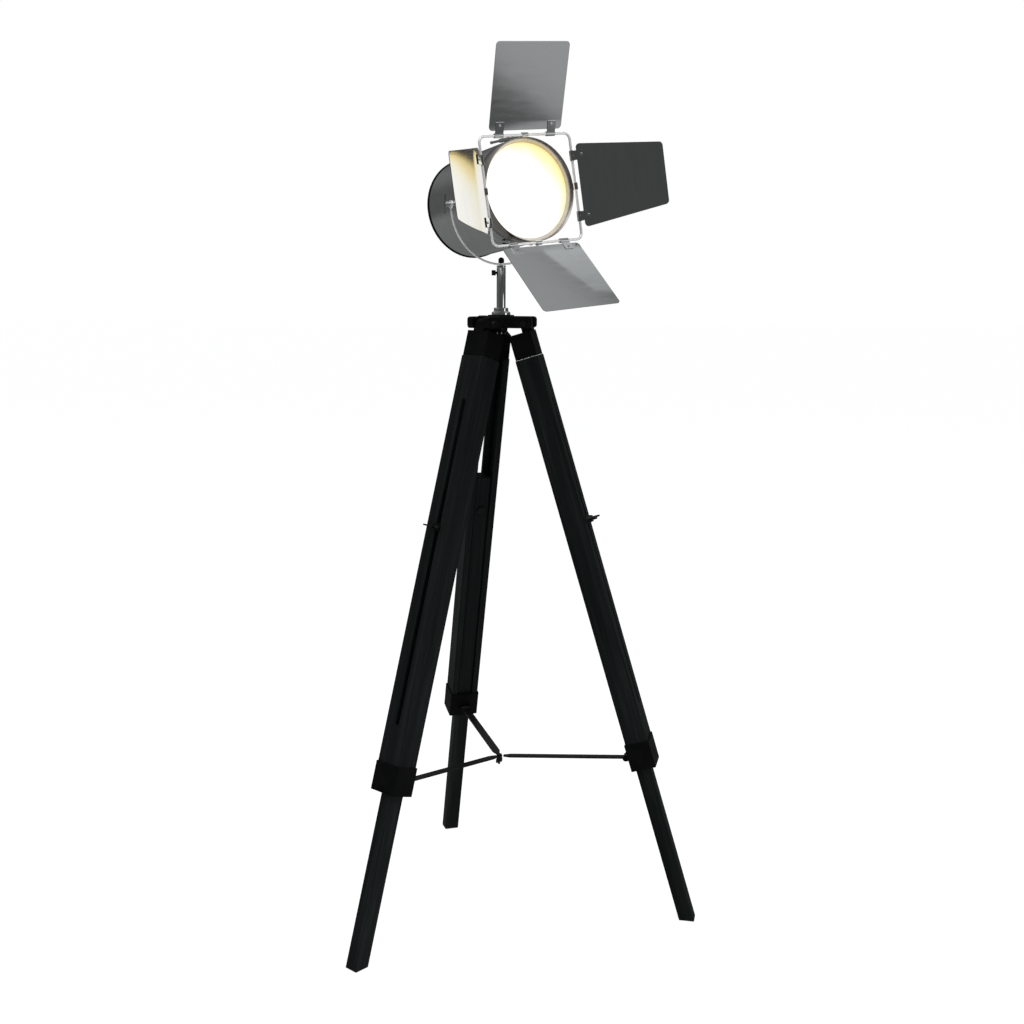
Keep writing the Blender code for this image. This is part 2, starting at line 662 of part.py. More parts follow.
def build_spreader_centre(frame, middle):
    """Screw through the front strap's eye and the wing nut under it."""
    at = (middle, 0, 0)
    top = STRAP_THICKNESS / 2 + GAP
    head_top = top + CENTRE_HEAD_HEIGHT
    screw = place("spreader_hub", mesh_of(rod(CENTRE_HEAD_RADIUS, top, head_top, at=at), "screw"),
                  "black_steel", frame)
    join(screw, rod(CENTRE_SCREW_RADIUS, top - CENTRE_SCREW_LENGTH, head_top - GAP, at=at))
    low = -top - CENTRE_NUT_HEIGHT
    nut = place("spreader_nut", mesh_of(rod(CENTRE_NUT_RADIUS, low, -top, at=at), "nut"),
                "black_steel", frame)
    wings = box((middle - CENTRE_WING_HALF, -MM, low - CENTRE_WING_DROP),
                (middle + CENTRE_WING_HALF, MM, -top - CENTRE_NUT_HEIGHT / 2))
    join(nut, wings)
    cut(nut, rod(CENTRE_SCREW_RADIUS + GAP, low - CENTRE_WING_DROP - OVER, 0, at=at))


def build_leg(root, name, azimuth):
    leg = leg_frame(root, name, azimuth)
    build_hinge_bolt(leg, name)
    build_cap(leg, name)
    build_channel(leg, name)
    build_collar(leg, name)
    slide = empty(name + "_slide", leg)
    build_post(slide, name)
    build_clamp(slide, name)
    build_strap(leg, name)


# ---------------------------------------------------------------- stem and yoke
def ring_profile(inner, outer, low, high):
    return [(outer, high), (outer, low), (inner, low), (inner, high)]


def build_stem(root):
    tube = ring_profile(STEM_RADIUS - STEM_WALL, STEM_RADIUS, STEM_BOTTOM, STEM_TOP)
    stem = turned("stem_tube", tube, "chrome", root, steps=24)
    cut(stem, rod(THUMBSCREW_RADIUS + GAP, -STEM_RADIUS - OVER, 0, "X", (0, 0, THUMBSCREW_HEIGHT)))
    bore = STEM_RADIUS + GAP
    low = BOSS_TOP + GAP
    high = low + FLANGE_HEIGHT
    step = low + FLANGE_STEP
    profile = [(bore, high), (FLANGE_SHOULDER_RADIUS, high), (FLANGE_SHOULDER_RADIUS, step + MM),
               (FLANGE_RADIUS - MM, step), (FLANGE_RADIUS, step - MM), (FLANGE_RADIUS, low), (bore, low)]
    turned("stem_flange", profile, "chrome", root, steps=28)
    hexagon = rod(STEM_NUT_RADIUS, HUB_BOTTOM - STEM_NUT_HEIGHT, HUB_BOTTOM - GAP, segments=6)
    nut = place("stem_nut", mesh_of(hexagon, "nut"), "black_steel", root)
    cut(nut, rod(bore, STEM_BOTTOM - OVER, HUB_TOP, segments=24))


def build_swivel(pan):
    """Post that turns inside the stem, carrying the yoke under a cap nut."""
    seat = TILT_HEIGHT - YOKE_RADIUS - EYE_THICKNESS / 2 - GAP
    inner = STEM_RADIUS - STEM_WALL - GAP
    pin = rod(inner, SWIVEL_BOTTOM, STEM_TOP + MM, segments=24)
    post = place("swivel_post", mesh_of(pin, "swivel"), "chrome", pan)
    join(post, rod(STEM_RADIUS, STEM_TOP + GAP, seat, segments=24))
    screw_end = seat - CAP_SCREW_LENGTH
    cut(post, rod(CAP_SCREW_RADIUS + GAP, screw_end - MM, seat + OVER))
    top = TILT_HEIGHT - YOKE_RADIUS + EYE_THICKNESS / 2 + GAP
    nut = place("yoke_cap_nut", mesh_of(rod(CAP_SCREW_RADIUS, screw_end, top + MM), "cap_nut"),
                "black_steel", pan)
    side = rod(CAP_NUT_RADIUS, top, top + CAP_NUT_SIDE, segments=24)
    crown = rod(CAP_NUT_RADIUS, top + CAP_NUT_SIDE - GAP, top + CAP_NUT_HEIGHT, segments=24,
                tip=CAP_NUT_TIP_RADIUS)
    join(nut, side, crown)


def build_thumbscrew(root):
    turn = empty("pan_screw_turn", root, Matrix.Translation((0, 0, THUMBSCREW_HEIGHT)))
    head = STEM_RADIUS + THUMB_HEAD_STANDOFF
    shank = rod(THUMBSCREW_RADIUS, -head - MM, -STEM_RADIUS + STEM_WALL, "X")
    screw = place("pan_thumbscrew", mesh_of(shank, "thumbscrew"), "black_steel", turn)
    join(screw, rod(THUMB_HEAD_RADIUS, -head - THUMB_HEAD_HEIGHT, -head, "X", segments=14))


def build_yoke(pan):
    angles = [math.radians(a) for a in range(180, 361, YOKE_STEP_DEG)]
    half = [(YOKE_RADIUS * math.cos(a), 0, TILT_HEIGHT + YOKE_RADIUS * math.sin(a)) for a in angles]
    yoke = place("yoke", wire_mesh("yoke", half, YOKE_ROD, False), "chrome", pan)
    bottom = TILT_HEIGHT - YOKE_RADIUS
    half_eye = EYE_THICKNESS / 2
    join(yoke, rod(EYE_RADIUS, bottom - half_eye, bottom + half_eye))
    holes = [rod(EYE_BORE_RADIUS, bottom - OVER, bottom + OVER)]
    for sign in (1, -1):
        side = sign * YOKE_RADIUS
        at = (0, 0, TILT_HEIGHT)
        join(yoke, rod(EYE_RADIUS, side - half_eye, side + half_eye, "X", at))
        holes.append(rod(PIVOT_BORE_RADIUS, side - OVER, side + OVER, "X", at, 20))
    cut(yoke, *holes)


def build_tilt_screws(pan):
    """T-handled screws through the yoke's eyes into the drum's bosses."""
    for name, sign in (("left", -1), ("right", 1)):
        turn = empty(name + "_tilt_screw_turn", pan, Matrix.Translation((0, 0, TILT_HEIGHT)))
        shank = rod(TILT_SCREW_RADIUS, *outwards(sign, TILT_SCREW_START, TILT_BAR_AT), "X", segments=20)
        screw = place(name + "_tilt_screw", mesh_of(shank, "tilt_screw"), "chrome", turn)
        neck = rod(TILT_NECK_RADIUS, *outwards(sign, TILT_NECK_START, TILT_NECK_END), "X", segments=20)
        bar = rod(TILT_BAR_RADIUS, -TILT_BAR_HALF, TILT_BAR_HALF, at=(sign * TILT_BAR_AT, 0, 0), segments=14)
        join(screw, neck, bar)


# ---------------------------------------------------------------- drum
def build_drum(drum):
    """The drum's profile is turned about its own +Z, which points the way the light goes."""
    wall = DRUM_RADIUS - DRUM_WALL
    tube = ring_profile(wall, DRUM_RADIUS, DRUM_REAR, DRUM_FRONT)
    shell = turned("drum_shell", tube, "chrome", drum)
    tilt_axis = (0, -DRUM_RISE, 0)
    holes = []
    for sign in (1, -1):
        boss = outwards(sign, wall - GAP, PIVOT_BOSS_END)
        join(shell, rod(PIVOT_BOSS_RADIUS, *boss, "X", tilt_axis, 20))
        bore = outwards(sign, wall - OVER, PIVOT_BOSS_END + OVER)
        holes.append(rod(PIVOT_BOSS_BORE_RADIUS, *bore, "X", tilt_axis, 20))
    cut(shell, *holes)
    low = DRUM_FRONT + GAP
    lip = BEZEL_FRONT - FUNNEL_DEPTH
    inner = DRUM_RADIUS - BEZEL_WALL
    bezel = [(DRUM_RADIUS, BEZEL_FRONT - BEZEL_ROUND), (DRUM_RADIUS, low), (inner, low),
             (inner, BEZEL_FRONT - FUNNEL_BACK_DEPTH), (FUNNEL_RADIUS, lip - BEZEL_WALL), (FUNNEL_RADIUS, lip),
             (DRUM_RADIUS - BEZEL_ROUND, BEZEL_FRONT)]
    turned("front_bezel", bezel, "chrome", drum)
    glass = [(0, GLASS_FRONT + GLASS_DOME), (GLASS_RADIUS / 2, GLASS_FRONT + GLASS_DOME * 0.75),
             (GLASS_RADIUS, GLASS_FRONT), (GLASS_RADIUS, GLASS_FRONT - GLASS_THICKNESS),
             (0, GLASS_FRONT - GLASS_THICKNESS)]
    turned("diffuser_glass", glass, "frosted_glass", drum, steps=36)


def build_rear(drum):
    """Black rear cover with a rim over the drum's edge, and the cord's gland."""
    floor = DRUM_REAR - GAP
    rim_front = DRUM_REAR + COVER_RIM_DEPTH
    rim_inner = DRUM_RADIUS + GAP
    profile = [(COVER_RIM_RADIUS, rim_front), (COVER_RIM_RADIUS, COVER_REAR + COVER_ROUND),
               (COVER_RIM_RADIUS - COVER_ROUND, COVER_REAR), (COVER_HOLE_RADIUS, COVER_REAR),
               (COVER_HOLE_RADIUS, floor), (rim_inner, floor), (rim_inner, rim_front)]
    cover = turned("rear_cover", profile, "black_paint", drum)
    vents = []
    for i in range(VENT_COUNT):
        vent = box((VENT_START, -VENT_HALF, COVER_REAR - OVER), (VENT_END, VENT_HALF, floor + OVER))
        turn = Matrix.Rotation(math.tau * (i + 0.5) / VENT_COUNT, 4, "Z")
        bmesh.ops.transform(vent, matrix=turn, verts=vent.verts)
        vents.append(vent)
    cut(cover, *vents)
    seat = COVER_REAR - GAP
    end = seat - GLAND_LENGTH
    gland = [(GLAND_BORE_RADIUS, floor), (GLAND_THREAD_RADIUS, floor), (GLAND_THREAD_RADIUS, seat),
             (GLAND_NUT_RADIUS, seat), (GLAND_NUT_RADIUS, seat - GLAND_NUT_HEIGHT),
             (GLAND_NECK_RADIUS, seat - GLAND_NUT_HEIGHT - MM), (GLAND_TIP_RADIUS, end),
             (GLAND_BORE_RADIUS, end)]
    turned("cord_gland", gland, "black_plastic", drum, steps=20)


def build_bulb(drum):
    """Porcelain holder on the rear cover and the bulb that screws into it."""
    base = DRUM_REAR
    mouth = base + HOLDER_LENGTH
    floor = base + HOLDER_FLOOR
    holder = [(0, floor), (HOLDER_BORE_RADIUS, floor), (HOLDER_BORE_RADIUS, mouth), (HOLDER_RADIUS, mouth),
              (HOLDER_RADIUS, base + HOLDER_TAPER), (HOLDER_FOOT_RADIUS, base), (0, base)]
    turned("lamp_holder", holder, "porcelain", drum, steps=20)
    cap = floor + GAP
    centre = cap + BULB_CENTRE
    bulb = [(0, centre + BULB_RADIUS)]
    for degrees in BULB_ANGLES_DEG:
        angle = math.radians(degrees)
        bulb.append((BULB_RADIUS * math.sin(angle), centre + BULB_RADIUS * math.cos(angle)))
    bulb += [(BULB_CAP_RADIUS, cap + BULB_CAP_LENGTH), (BULB_CAP_RADIUS, cap + BULB_CONTACT_RISE),
             (BULB_CONTACT_RADIUS, cap), (0, cap)]
    turned("bulb", bulb, "bulb_glass", drum, steps=20)


# ---------------------------------------------------------------- barn doors
def frame_points():
    """Centre line of the square rod frame, in the frame's own plane."""
    straight = FRAME_HALF - FRAME_CORNER
    points = []
    for i, (x, y) in enumerate(((1, 1), (-1, 1), (-1, -1), (1, -1))):
        points += arc((x * straight, y * straight), FRAME_CORNER, 90 * i, 90 * i + 90, FRAME_CORNER_STEPS)
    return [(x, y, 0) for x, y in points]


def build_frame(roll):
    place("barn_frame", wire_mesh("barn_frame", frame_points(), FRAME_ROD, True), "chrome", roll)
    for i, name in enumerate(("top", "left", "bottom", "right")):
        side = empty(name + "_strap_side", roll, Matrix.Rotation(math.radians(90 * i), 4, "Z"))
        build_frame_clip(side, name)


def build_frame_clip(side, name):
    """Spring clip at the middle of one side: an eye on the rod and a tab back over the drum."""
    half = FRAME_CLIP_HALF
    tab_half = half - ROLLED_TAB_INSET
    seat = DRUM_RADIUS + FRAME_CLIP_STANDOFF
    top = seat + FRAME_CLIP_THICKNESS
    back = DRUM_FRONT - FRAME_FORWARD + FRAME_CLIP_OVERLAP
    tab = box((-tab_half, seat, back), (tab_half, top, -ROLLED_TAB_START))
    clip = place(name + "_frame_clip", mesh_of(tab, "clip"), "chrome", side)
    on_rod = (0, FRAME_HALF, 0)
    screw_at = (0, 0, back + FRAME_CLIP_SCREW_AT)
    join(clip, rod(ROLLED_EYE_RADIUS, -half, half, "X", on_rod),
         rod(CLIP_SCREW_RADIUS, top - GAP, top + CLIP_SCREW_HEIGHT, "Y", screw_at))
    if name == PULL_SIDE:
        join(clip, *pull_rod(seat))
    cut(clip, rod(FRAME_ROD + GAP, -half - OVER, half + OVER, "X", on_rod))


def pull_rod(seat):
    """The lever of the top clip: a rod, a sleeve and a knob that rise away from the drum."""
    lean = Matrix.Translation((0, seat + PULL_STANDOFF, PULL_FRONT)) @ Matrix.Rotation(PULL_LEAN, 4, "X")
    near, far = PULL_SLEEVE
    pieces = [rod(PULL_ROD, -PULL_LENGTH + PULL_KNOB_LENGTH / 2, 0),
              rod(PULL_SLEEVE_RADIUS, -far, -near, segments=20),
              rod(PULL_KNOB_RADIUS, -PULL_LENGTH, -PULL_LENGTH + PULL_KNOB_LENGTH, segments=20)]
    for piece in pieces:
        bmesh.ops.transform(piece, matrix=lean, verts=piece.verts)
    return pieces


def build_door(roll, name, turn, opening, hinge_width, tip_width, length):
    """A door in its hinge's frame: +X along the rod, +Y out along the door, +Z its front face."""
    side = Matrix.Rotation(-math.radians(turn), 4, "Z")
    hinge = side @ Matrix.Translation((0, FRAME_HALF, 0)) @ Matrix.Rotation(math.radians(opening), 4, "X")
    frame = empty(name + "_door_turn", roll, hinge)
    near, far = DOOR_GAP, DOOR_GAP + length * MM
    half, tip = hinge_width * MM / 2, tip_width * MM / 2
    outline = rounded([(-half, near), (half, near), (tip, far), (-tip, far)], DOOR_CORNER)
    place(name + "_door", plate(outline, DOOR_THICKNESS, "door"), "polished_door", frame)
    for label, sign in (("a", -1), ("b", 1)):
        build_door_clip(frame, name + "_door_clip_" + label, sign * CLIP_OFFSET)


def build_door_clip(frame, name, x):
    """An eye that turns on the rod, with a tab screwed to the door's front face."""
    low, high = x - CLIP_WIDTH / 2, x + CLIP_WIDTH / 2
    seat = DOOR_THICKNESS / 2 + GAP
    top = seat + CLIP_THICKNESS
    tab = box((low + ROLLED_TAB_INSET, ROLLED_TAB_START, seat), (high - ROLLED_TAB_INSET, CLIP_REACH, top))
    clip = place(name, mesh_of(tab, "clip"), "chrome", frame)
    screw_at = (x, CLIP_REACH - CLIP_SCREW_INSET, 0)
    join(clip, rod(ROLLED_EYE_RADIUS, low, high, "X"),
         rod(CLIP_SCREW_RADIUS, top - GAP, top + CLIP_SCREW_HEIGHT, "Z", screw_at, tip=CLIP_SCREW_TIP_RADIUS))
    cut(clip, rod(FRAME_ROD + GAP, low - OVER, high + OVER, "X"))


def build_head(pan):
    tilt = Matrix.Translation((0, 0, TILT_HEIGHT)) @ Matrix.Rotation(-TILT, 4, "X")
    # the drum's own frame: +Z along the light, +Y up, its axis a little above the tilt axis
    along = Matrix.Translation((0, 0, DRUM_RISE)) @ Matrix.Rotation(math.pi / 2, 4, "X")
    drum = empty("drum", pan, tilt @ along)
    build_drum(drum)
    build_rear(drum)
    build_bulb(drum)
    roll = Matrix.Translation((0, 0, FRAME_FORWARD)) @ Matrix.Rotation(FRAME_ROLL, 4, "Z")
    barn = empty("barn", drum, roll)
    build_frame(barn)
    for name, sizes in DOORS.items():
        build_door(barn, name, *sizes)


def build():
    root = empty("tripod_axis", None, Matrix.Translation(AXIS))
    build_hub(root)
    for name, azimuth in LEG_AZIMUTHS.items():
        build_leg(root, name, azimuth)
    build_stem(root)
    build_thumbscrew(root)
    pan = empty("pan", root, Matrix.Rotation(PAN, 4, "Z"))
    build_swivel(pan)
    build_yoke(pan)
    build_tilt_screws(pan)
    build_head(pan)


clear_scene()
PARTS = new_collection("tripod_floor_lamp")
TOOLS = new_collection("cutters")
LOOKS = make_materials()
build()
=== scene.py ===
"""Looks for the tripod floor lamp: stained timber, black fittings, bright plating and lit glass."""

import json
import math

import bmesh
import bpy
from mathutils import Matrix, Vector

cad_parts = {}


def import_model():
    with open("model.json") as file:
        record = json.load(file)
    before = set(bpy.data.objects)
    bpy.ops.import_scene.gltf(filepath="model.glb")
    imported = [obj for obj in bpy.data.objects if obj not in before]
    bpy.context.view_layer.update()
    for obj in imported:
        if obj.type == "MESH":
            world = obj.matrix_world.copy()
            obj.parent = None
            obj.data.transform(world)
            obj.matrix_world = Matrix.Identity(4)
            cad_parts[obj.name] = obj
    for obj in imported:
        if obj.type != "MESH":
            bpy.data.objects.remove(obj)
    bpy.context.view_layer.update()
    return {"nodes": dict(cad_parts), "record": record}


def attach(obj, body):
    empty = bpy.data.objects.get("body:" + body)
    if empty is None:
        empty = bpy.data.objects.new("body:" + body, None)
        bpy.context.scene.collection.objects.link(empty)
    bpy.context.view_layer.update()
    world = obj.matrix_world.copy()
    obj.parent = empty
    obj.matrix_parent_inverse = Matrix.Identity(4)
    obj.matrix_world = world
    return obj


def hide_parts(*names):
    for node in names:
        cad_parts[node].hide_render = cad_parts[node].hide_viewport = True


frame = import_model()

MM = 0.001
AXIS = Vector((-0.047, -0.034, 0.0))
LEG_AZIMUTHS = {"front": 227.4, "right": 347.4, "back": 107.4}
SPLAY = math.radians(16.8)
HINGE_RADIUS = 41 * MM
HINGE_HEIGHT = 979 * MM
CHANNEL_OUTER_X = 8.5 * MM
CHANNEL_INNER_X = -29 * MM
POST_OUTER_X = -1.7 * MM
POST_INNER_X = -25.7 * MM
CLAMP_DROP = 328 * MM
LUG = (-38 * MM, -727 * MM)
SPREADER_HEIGHT = 256.5 * MM
PAN = math.radians(30.8)
TILT = math.radians(6.7)
TILT_HEIGHT = 1161.4 * MM
YOKE_RADIUS = 90.2 * MM
DRUM_RISE = 11 * MM
DRUM_RADIUS = 78.4 * MM
DRUM_REAR = -96.5 * MM
DRUM_FRONT = 60 * MM
BEZEL_FRONT = 88.7 * MM
GLASS_FRONT = 74.4 * MM
FUNNEL_DEPTH = 11 * MM
FUNNEL_RADIUS = 72 * MM
THUMB_HEIGHT = 1.058  # the pan thumbscrew's axis
KNURLS = 18
BOLT_BORE = 3.3 * MM
STRAP_EYE = 7.2 * MM  # where a strap's tip ends, short of the spreader's middle
STRAP_HALF = 6.5 * MM
STRAP_TIP_HALF = 2.8 * MM
STRAP_TAPER = 12 * MM
VENTS = 6
LEVER_STANDOFF = 2.1 * MM
LEVER_FRONT = -16 * MM
LEVER_LEAN = math.radians(5)
LEVER_END = -84.4 * MM
CREASE_AT = 21.5 * MM  # from the hinge rod to a door's fold line
CREASE_SLOPE = math.tan(math.radians(1.3))
COVER_REAR = -99.3 * MM
FRAME_HALF = 80.6 * MM
FRAME_ROD = 2 * MM
FRAME_FORWARD = 91.3 * MM
FRAME_ROLL = math.radians(5.2)
DOOR_GAP = 7.5 * MM
CLIP_OFFSET = 46 * MM
DOORS = {  # side: turn round the frame, opening, hinge width, tip width, length
    "top": (0, 25.0, 128, 128, 128),
    "right": (90, 39.4, 128, 93, 132),
    "bottom": (180, 42.2, 136.8, 136.8, 137.3),
    "left": (270, 40.7, 128, 93, 132),
}

BOW = {"left": 0.65}  # radius of a door's shallow bend
CREASED = ("top", "bottom")


# ---------------------------------------------------------------- materials
class Look:
    """A material's node tree, written left to right."""

    def __init__(self, name):
        self.material = bpy.data.materials.new(name)
        self.material.use_nodes = True
        self.tree = self.material.node_tree
        self.shader = self.tree.nodes["Principled BSDF"]
        self.place = self.add("ShaderNodeTexCoord").outputs["Object"]

    def add(self, kind, **settings):
        node = self.tree.nodes.new(kind)
        for key, value in settings.items():
            setattr(node, key, value)
        return node

    def link(self, source, target):
        self.tree.links.new(source, target)

    def constants(self, **values):
        for key, value in values.items():
            self.shader.inputs[key.replace("_", " ")].default_value = value

    def noise(self, scale, detail=4.0, rough=0.55, distortion=0.0):
        """A noise whose grain is set by a scale along each of the piece's own axes."""
        mapping = self.add("ShaderNodeMapping")
        mapping.inputs["Scale"].default_value = scale
        noise = self.add("ShaderNodeTexNoise")
        noise.inputs["Scale"].default_value = 1.0
        noise.inputs["Detail"].default_value = detail
        noise.inputs["Roughness"].default_value = rough
        noise.inputs["Distortion"].default_value = distortion
        self.link(self.place, mapping.inputs["Vector"])
        self.link(mapping.outputs["Vector"], noise.inputs["Vector"])
        return noise.outputs["Fac"]

    def ramp(self, source, stops):
        ramp = self.add("ShaderNodeValToRGB")
        elements = ramp.color_ramp.elements
        while len(elements) < len(stops):
            elements.new(0.5)
        for element, (position, colour) in zip(elements, stops):
            element.position = position
            element.color = (*colour, 1.0)
        self.link(source, ramp.inputs["Fac"])
        return ramp.outputs["Color"]

    def range(self, source, low, high, from_low=0.3, from_high=0.7):
        node = self.add("ShaderNodeMapRange")
        node.inputs["From Min"].default_value = from_low
        node.inputs["From Max"].default_value = from_high
        node.inputs["To Min"].default_value = low
        node.inputs["To Max"].default_value = high
        self.link(source, node.inputs["Value"])
        return node.outputs["Result"]

    def bump(self, source, strength, distance, under=None):
        node = self.add("ShaderNodeBump")
        node.inputs["Strength"].default_value = strength
        node.inputs["Distance"].default_value = distance
        self.link(source, node.inputs["Height"])
        if under is not None:
            self.link(under, node.inputs["Normal"])
        return node.outputs["Normal"]

    def finish(self, colour=None, roughness=None, normal=None):
        for socket, name in ((colour, "Base Color"), (roughness, "Roughness"), (normal, "Normal")):
            if socket is not None:
                self.link(socket, self.shader.inputs[name])
        return self.material


def wood():
    """Near-black stain over straight grain that runs along the piece's Z."""
    look = Look("stained_wood")
    look.constants(**{"Specular IOR Level": 0.14})
    band = look.noise((55, 55, 2.2), 5.0, 0.6, 0.4)
    pores = look.noise((420, 420, 9.0), 3.0, 0.6)
    worn = look.noise((9, 9, 6), 3.0)
    mix = look.add("ShaderNodeMix", data_type="FLOAT")
    mix.inputs["Factor"].default_value = 0.45
    look.link(band, mix.inputs["A"])
    look.link(pores, mix.inputs["B"])
    grain = mix.outputs["Result"]
    colour = look.ramp(grain, ((0.30, (0.0020, 0.0026, 0.0028)), (0.50, (0.0052, 0.0066, 0.0070)),
                               (0.68, (0.0125, 0.0150, 0.0158))))
    rough = look.range(worn, 0.46, 0.62)
    normal = look.bump(grain, 0.35, 0.0006)
    return look.finish(colour, rough, normal)


def black(name, low, high, rough, speck, bump, metallic=0.0, level=0.35):
    """A black finish with a fine texture, worn a little unevenly."""
    look = Look(name)
    look.constants(**{"Metallic": metallic, "Specular IOR Level": level})
    patch = look.noise((40, 40, 40), 5.0)
    fine = look.noise((speck, speck, speck), 2.0)
    colour = look.ramp(patch, ((0.3, low), (0.7, high)))
    roughness = look.range(patch, rough - 0.07, rough + 0.08)
    return look.finish(colour, roughness, look.bump(fine, bump, 0.0003))


def plated(name, low, high, rough, spread, scale, wave=0.0, metallic=1.0):
    """Bright plating: faint rubbing marks in the roughness and a slow waviness in the sheet."""
    look = Look(name)
    look.constants(Metallic=metallic)
    rubbed = look.noise(scale, 6.0, 0.65)
    slow = look.noise((14, 14, 14), 2.0)
    colour = look.ramp(rubbed, ((0.3, low), (0.7, high)))
    roughness = look.range(rubbed, rough, rough + spread)
    normal = look.bump(slow, wave, 0.002) if wave else look.bump(rubbed, 0.02, 0.0002)
    return look.finish(colour, roughness, normal)


def glowing(name, centre, middle, rim, strength, reach):
    """Frosted glass lit from behind: whitest where the bulb is, warmer towards the edge."""
    look = Look(name)
    look.constants(Roughness=0.4)
    look.shader.inputs["Base Color"].default_value = (0.30, 0.28, 0.24, 1.0)
    mapping = look.add("ShaderNodeMapping")
    mapping.inputs["Location"].default_value = (0.30, 0.28, 0)
    mapping.inputs["Scale"].default_value = (1 / reach, 1 / reach, 0)
    look.link(look.place, mapping.inputs["Vector"])
    length = look.add("ShaderNodeVectorMath", operation="LENGTH")
    look.link(mapping.outputs["Vector"], length.inputs[0])
    frost = look.noise((900, 900, 900), 2.0)
    cloud = look.noise((22, 22, 22), 3.0)
    wobble = look.range(cloud, -0.06, 0.06)
    total = look.add("ShaderNodeMath", operation="ADD")
    look.link(length.outputs["Value"], total.inputs[0])
    look.link(wobble, total.inputs[1])
    colour = look.ramp(total.outputs[0], ((0.0, centre), (0.62, centre), (0.84, middle), (1.0, rim)))
    look.link(colour, look.shader.inputs["Emission Color"])
    look.shader.inputs["Emission Strength"].default_value = strength
    return look.finish(normal=look.bump(frost, 0.2, 0.0002))


LOOKS = {
    "stained_wood": wood(),
    "black_paint": black("black_paint", (0.0015, 0.0015, 0.0017), (0.0040, 0.0040, 0.0042),
                         0.48, 260, 0.12, level=0.10),
    "black_plastic": black("black_plastic", (0.0015, 0.0016, 0.0017), (0.0035, 0.0036, 0.0038),
                           0.50, 900, 0.25, level=0.08),
    "black_steel": black("black_steel", (0.003, 0.003, 0.003), (0.008, 0.008, 0.0075), 0.38, 500, 0.10,
                         metallic=0.3),
    "wire": plated("wire", (0.80, 0.80, 0.80), (0.90, 0.90, 0.895), 0.14, 0.10, (90, 90, 90), metallic=0.55),
    "bezel": plated("bezel", (0.40, 0.37, 0.34), (0.54, 0.51, 0.49), 0.20, 0.08, (120, 120, 120)),
    "chrome": plated("chrome", (0.66, 0.66, 0.67), (0.74, 0.74, 0.745), 0.05, 0.07, (120, 120, 120)),
    "polished_door": plated("polished_door", (0.60, 0.61, 0.615), (0.65, 0.66, 0.665), 0.06, 0.05,
                            (14, 90, 14), wave=0.03),
    "drum_chrome": plated("drum_chrome", (0.60, 0.60, 0.60), (0.70, 0.70, 0.70), 0.06, 0.06,
                          (60, 60, 200), wave=0.03),
    "frosted_glass": glowing("frosted_glass", (1.0, 0.98, 0.94), (1.0, 0.96, 0.72), (1.0, 0.80, 0.34), 1.0,
                             0.108),
    "bulb_glass": glowing("bulb_glass", (1.0, 0.94, 0.82), (1.0, 0.92, 0.78), (1.0, 0.90, 0.72), 6.0, 0.3),
    "porcelain": black("porcelain", (0.72, 0.70, 0.66), (0.80, 0.79, 0.75), 0.22, 200, 0.05, level=0.5),
}


# ---------------------------------------------------------------- shapes
AXES = {
    "X": Matrix.Rotation(math.pi / 2, 4, "Y"),
    "Y": Matrix.Rotation(-math.pi / 2, 4, "X"),
    "Z": Matrix(),
}


def box(low, high):
    bm = bmesh.new()
    low, high = Vector(low), Vector(high)
    bmesh.ops.create_cube(bm, size=1)
    bmesh.ops.scale(bm, vec=high - low, verts=bm.verts)
    bmesh.ops.translate(bm, vec=(low + high) / 2, verts=bm.verts)
    return bm


def rod(radius, start, end, axis="Z", at=(0, 0, 0), segments=32, tip=None):
    bm = bmesh.new()
    bmesh.ops.create_cone(bm, cap_ends=True, segments=segments, radius1=radius,
                          radius2=radius if tip is None else tip, depth=end - start)
    bmesh.ops.translate(bm, vec=(0, 0, (start + end) / 2), verts=bm.verts)
    bmesh.ops.transform(bm, matrix=Matrix.Translation(at) @ AXES[axis], verts=bm.verts)
    return bm


def moved(bm, matrix):
    bmesh.ops.transform(bm, matrix=matrix, verts=bm.verts)
    bmesh.ops.recalc_face_normals(bm, faces=bm.faces)
    return bm


def prism(outline, low, high):
    """A flat outline in XY, extruded from low to high along Z."""
    bm = bmesh.new()
    face = bm.faces.new([bm.verts.new((x, y, low)) for x, y in outline])
    grown = bmesh.ops.extrude_face_region(bm, geom=[face])
    raised = [v for v in grown["geom"] if isinstance(v, bmesh.types.BMVert)]
    bmesh.ops.translate(bm, vec=(0, 0, high - low), verts=raised)
    bmesh.ops.recalc_face_normals(bm, faces=bm.faces)
    return bm


def lathe(profile, steps=96):
    """A closed loop of (radius, height) pairs turned about Z."""
    bm = bmesh.new()
    points = [bm.verts.new((r, 0, h)) for r, h in profile]
    edges = [bm.edges.new((a, b)) for a, b in zip(points, points[1:] + points[:1])]
    bmesh.ops.spin(bm, geom=points + edges, cent=(0, 0, 0), axis=(0, 0, 1), angle=2 * math.pi,
                   steps=steps, use_merge=True)
    bmesh.ops.remove_doubles(bm, verts=bm.verts, dist=0.000001)
    bmesh.ops.recalc_face_normals(bm, faces=bm.faces)
    return bm


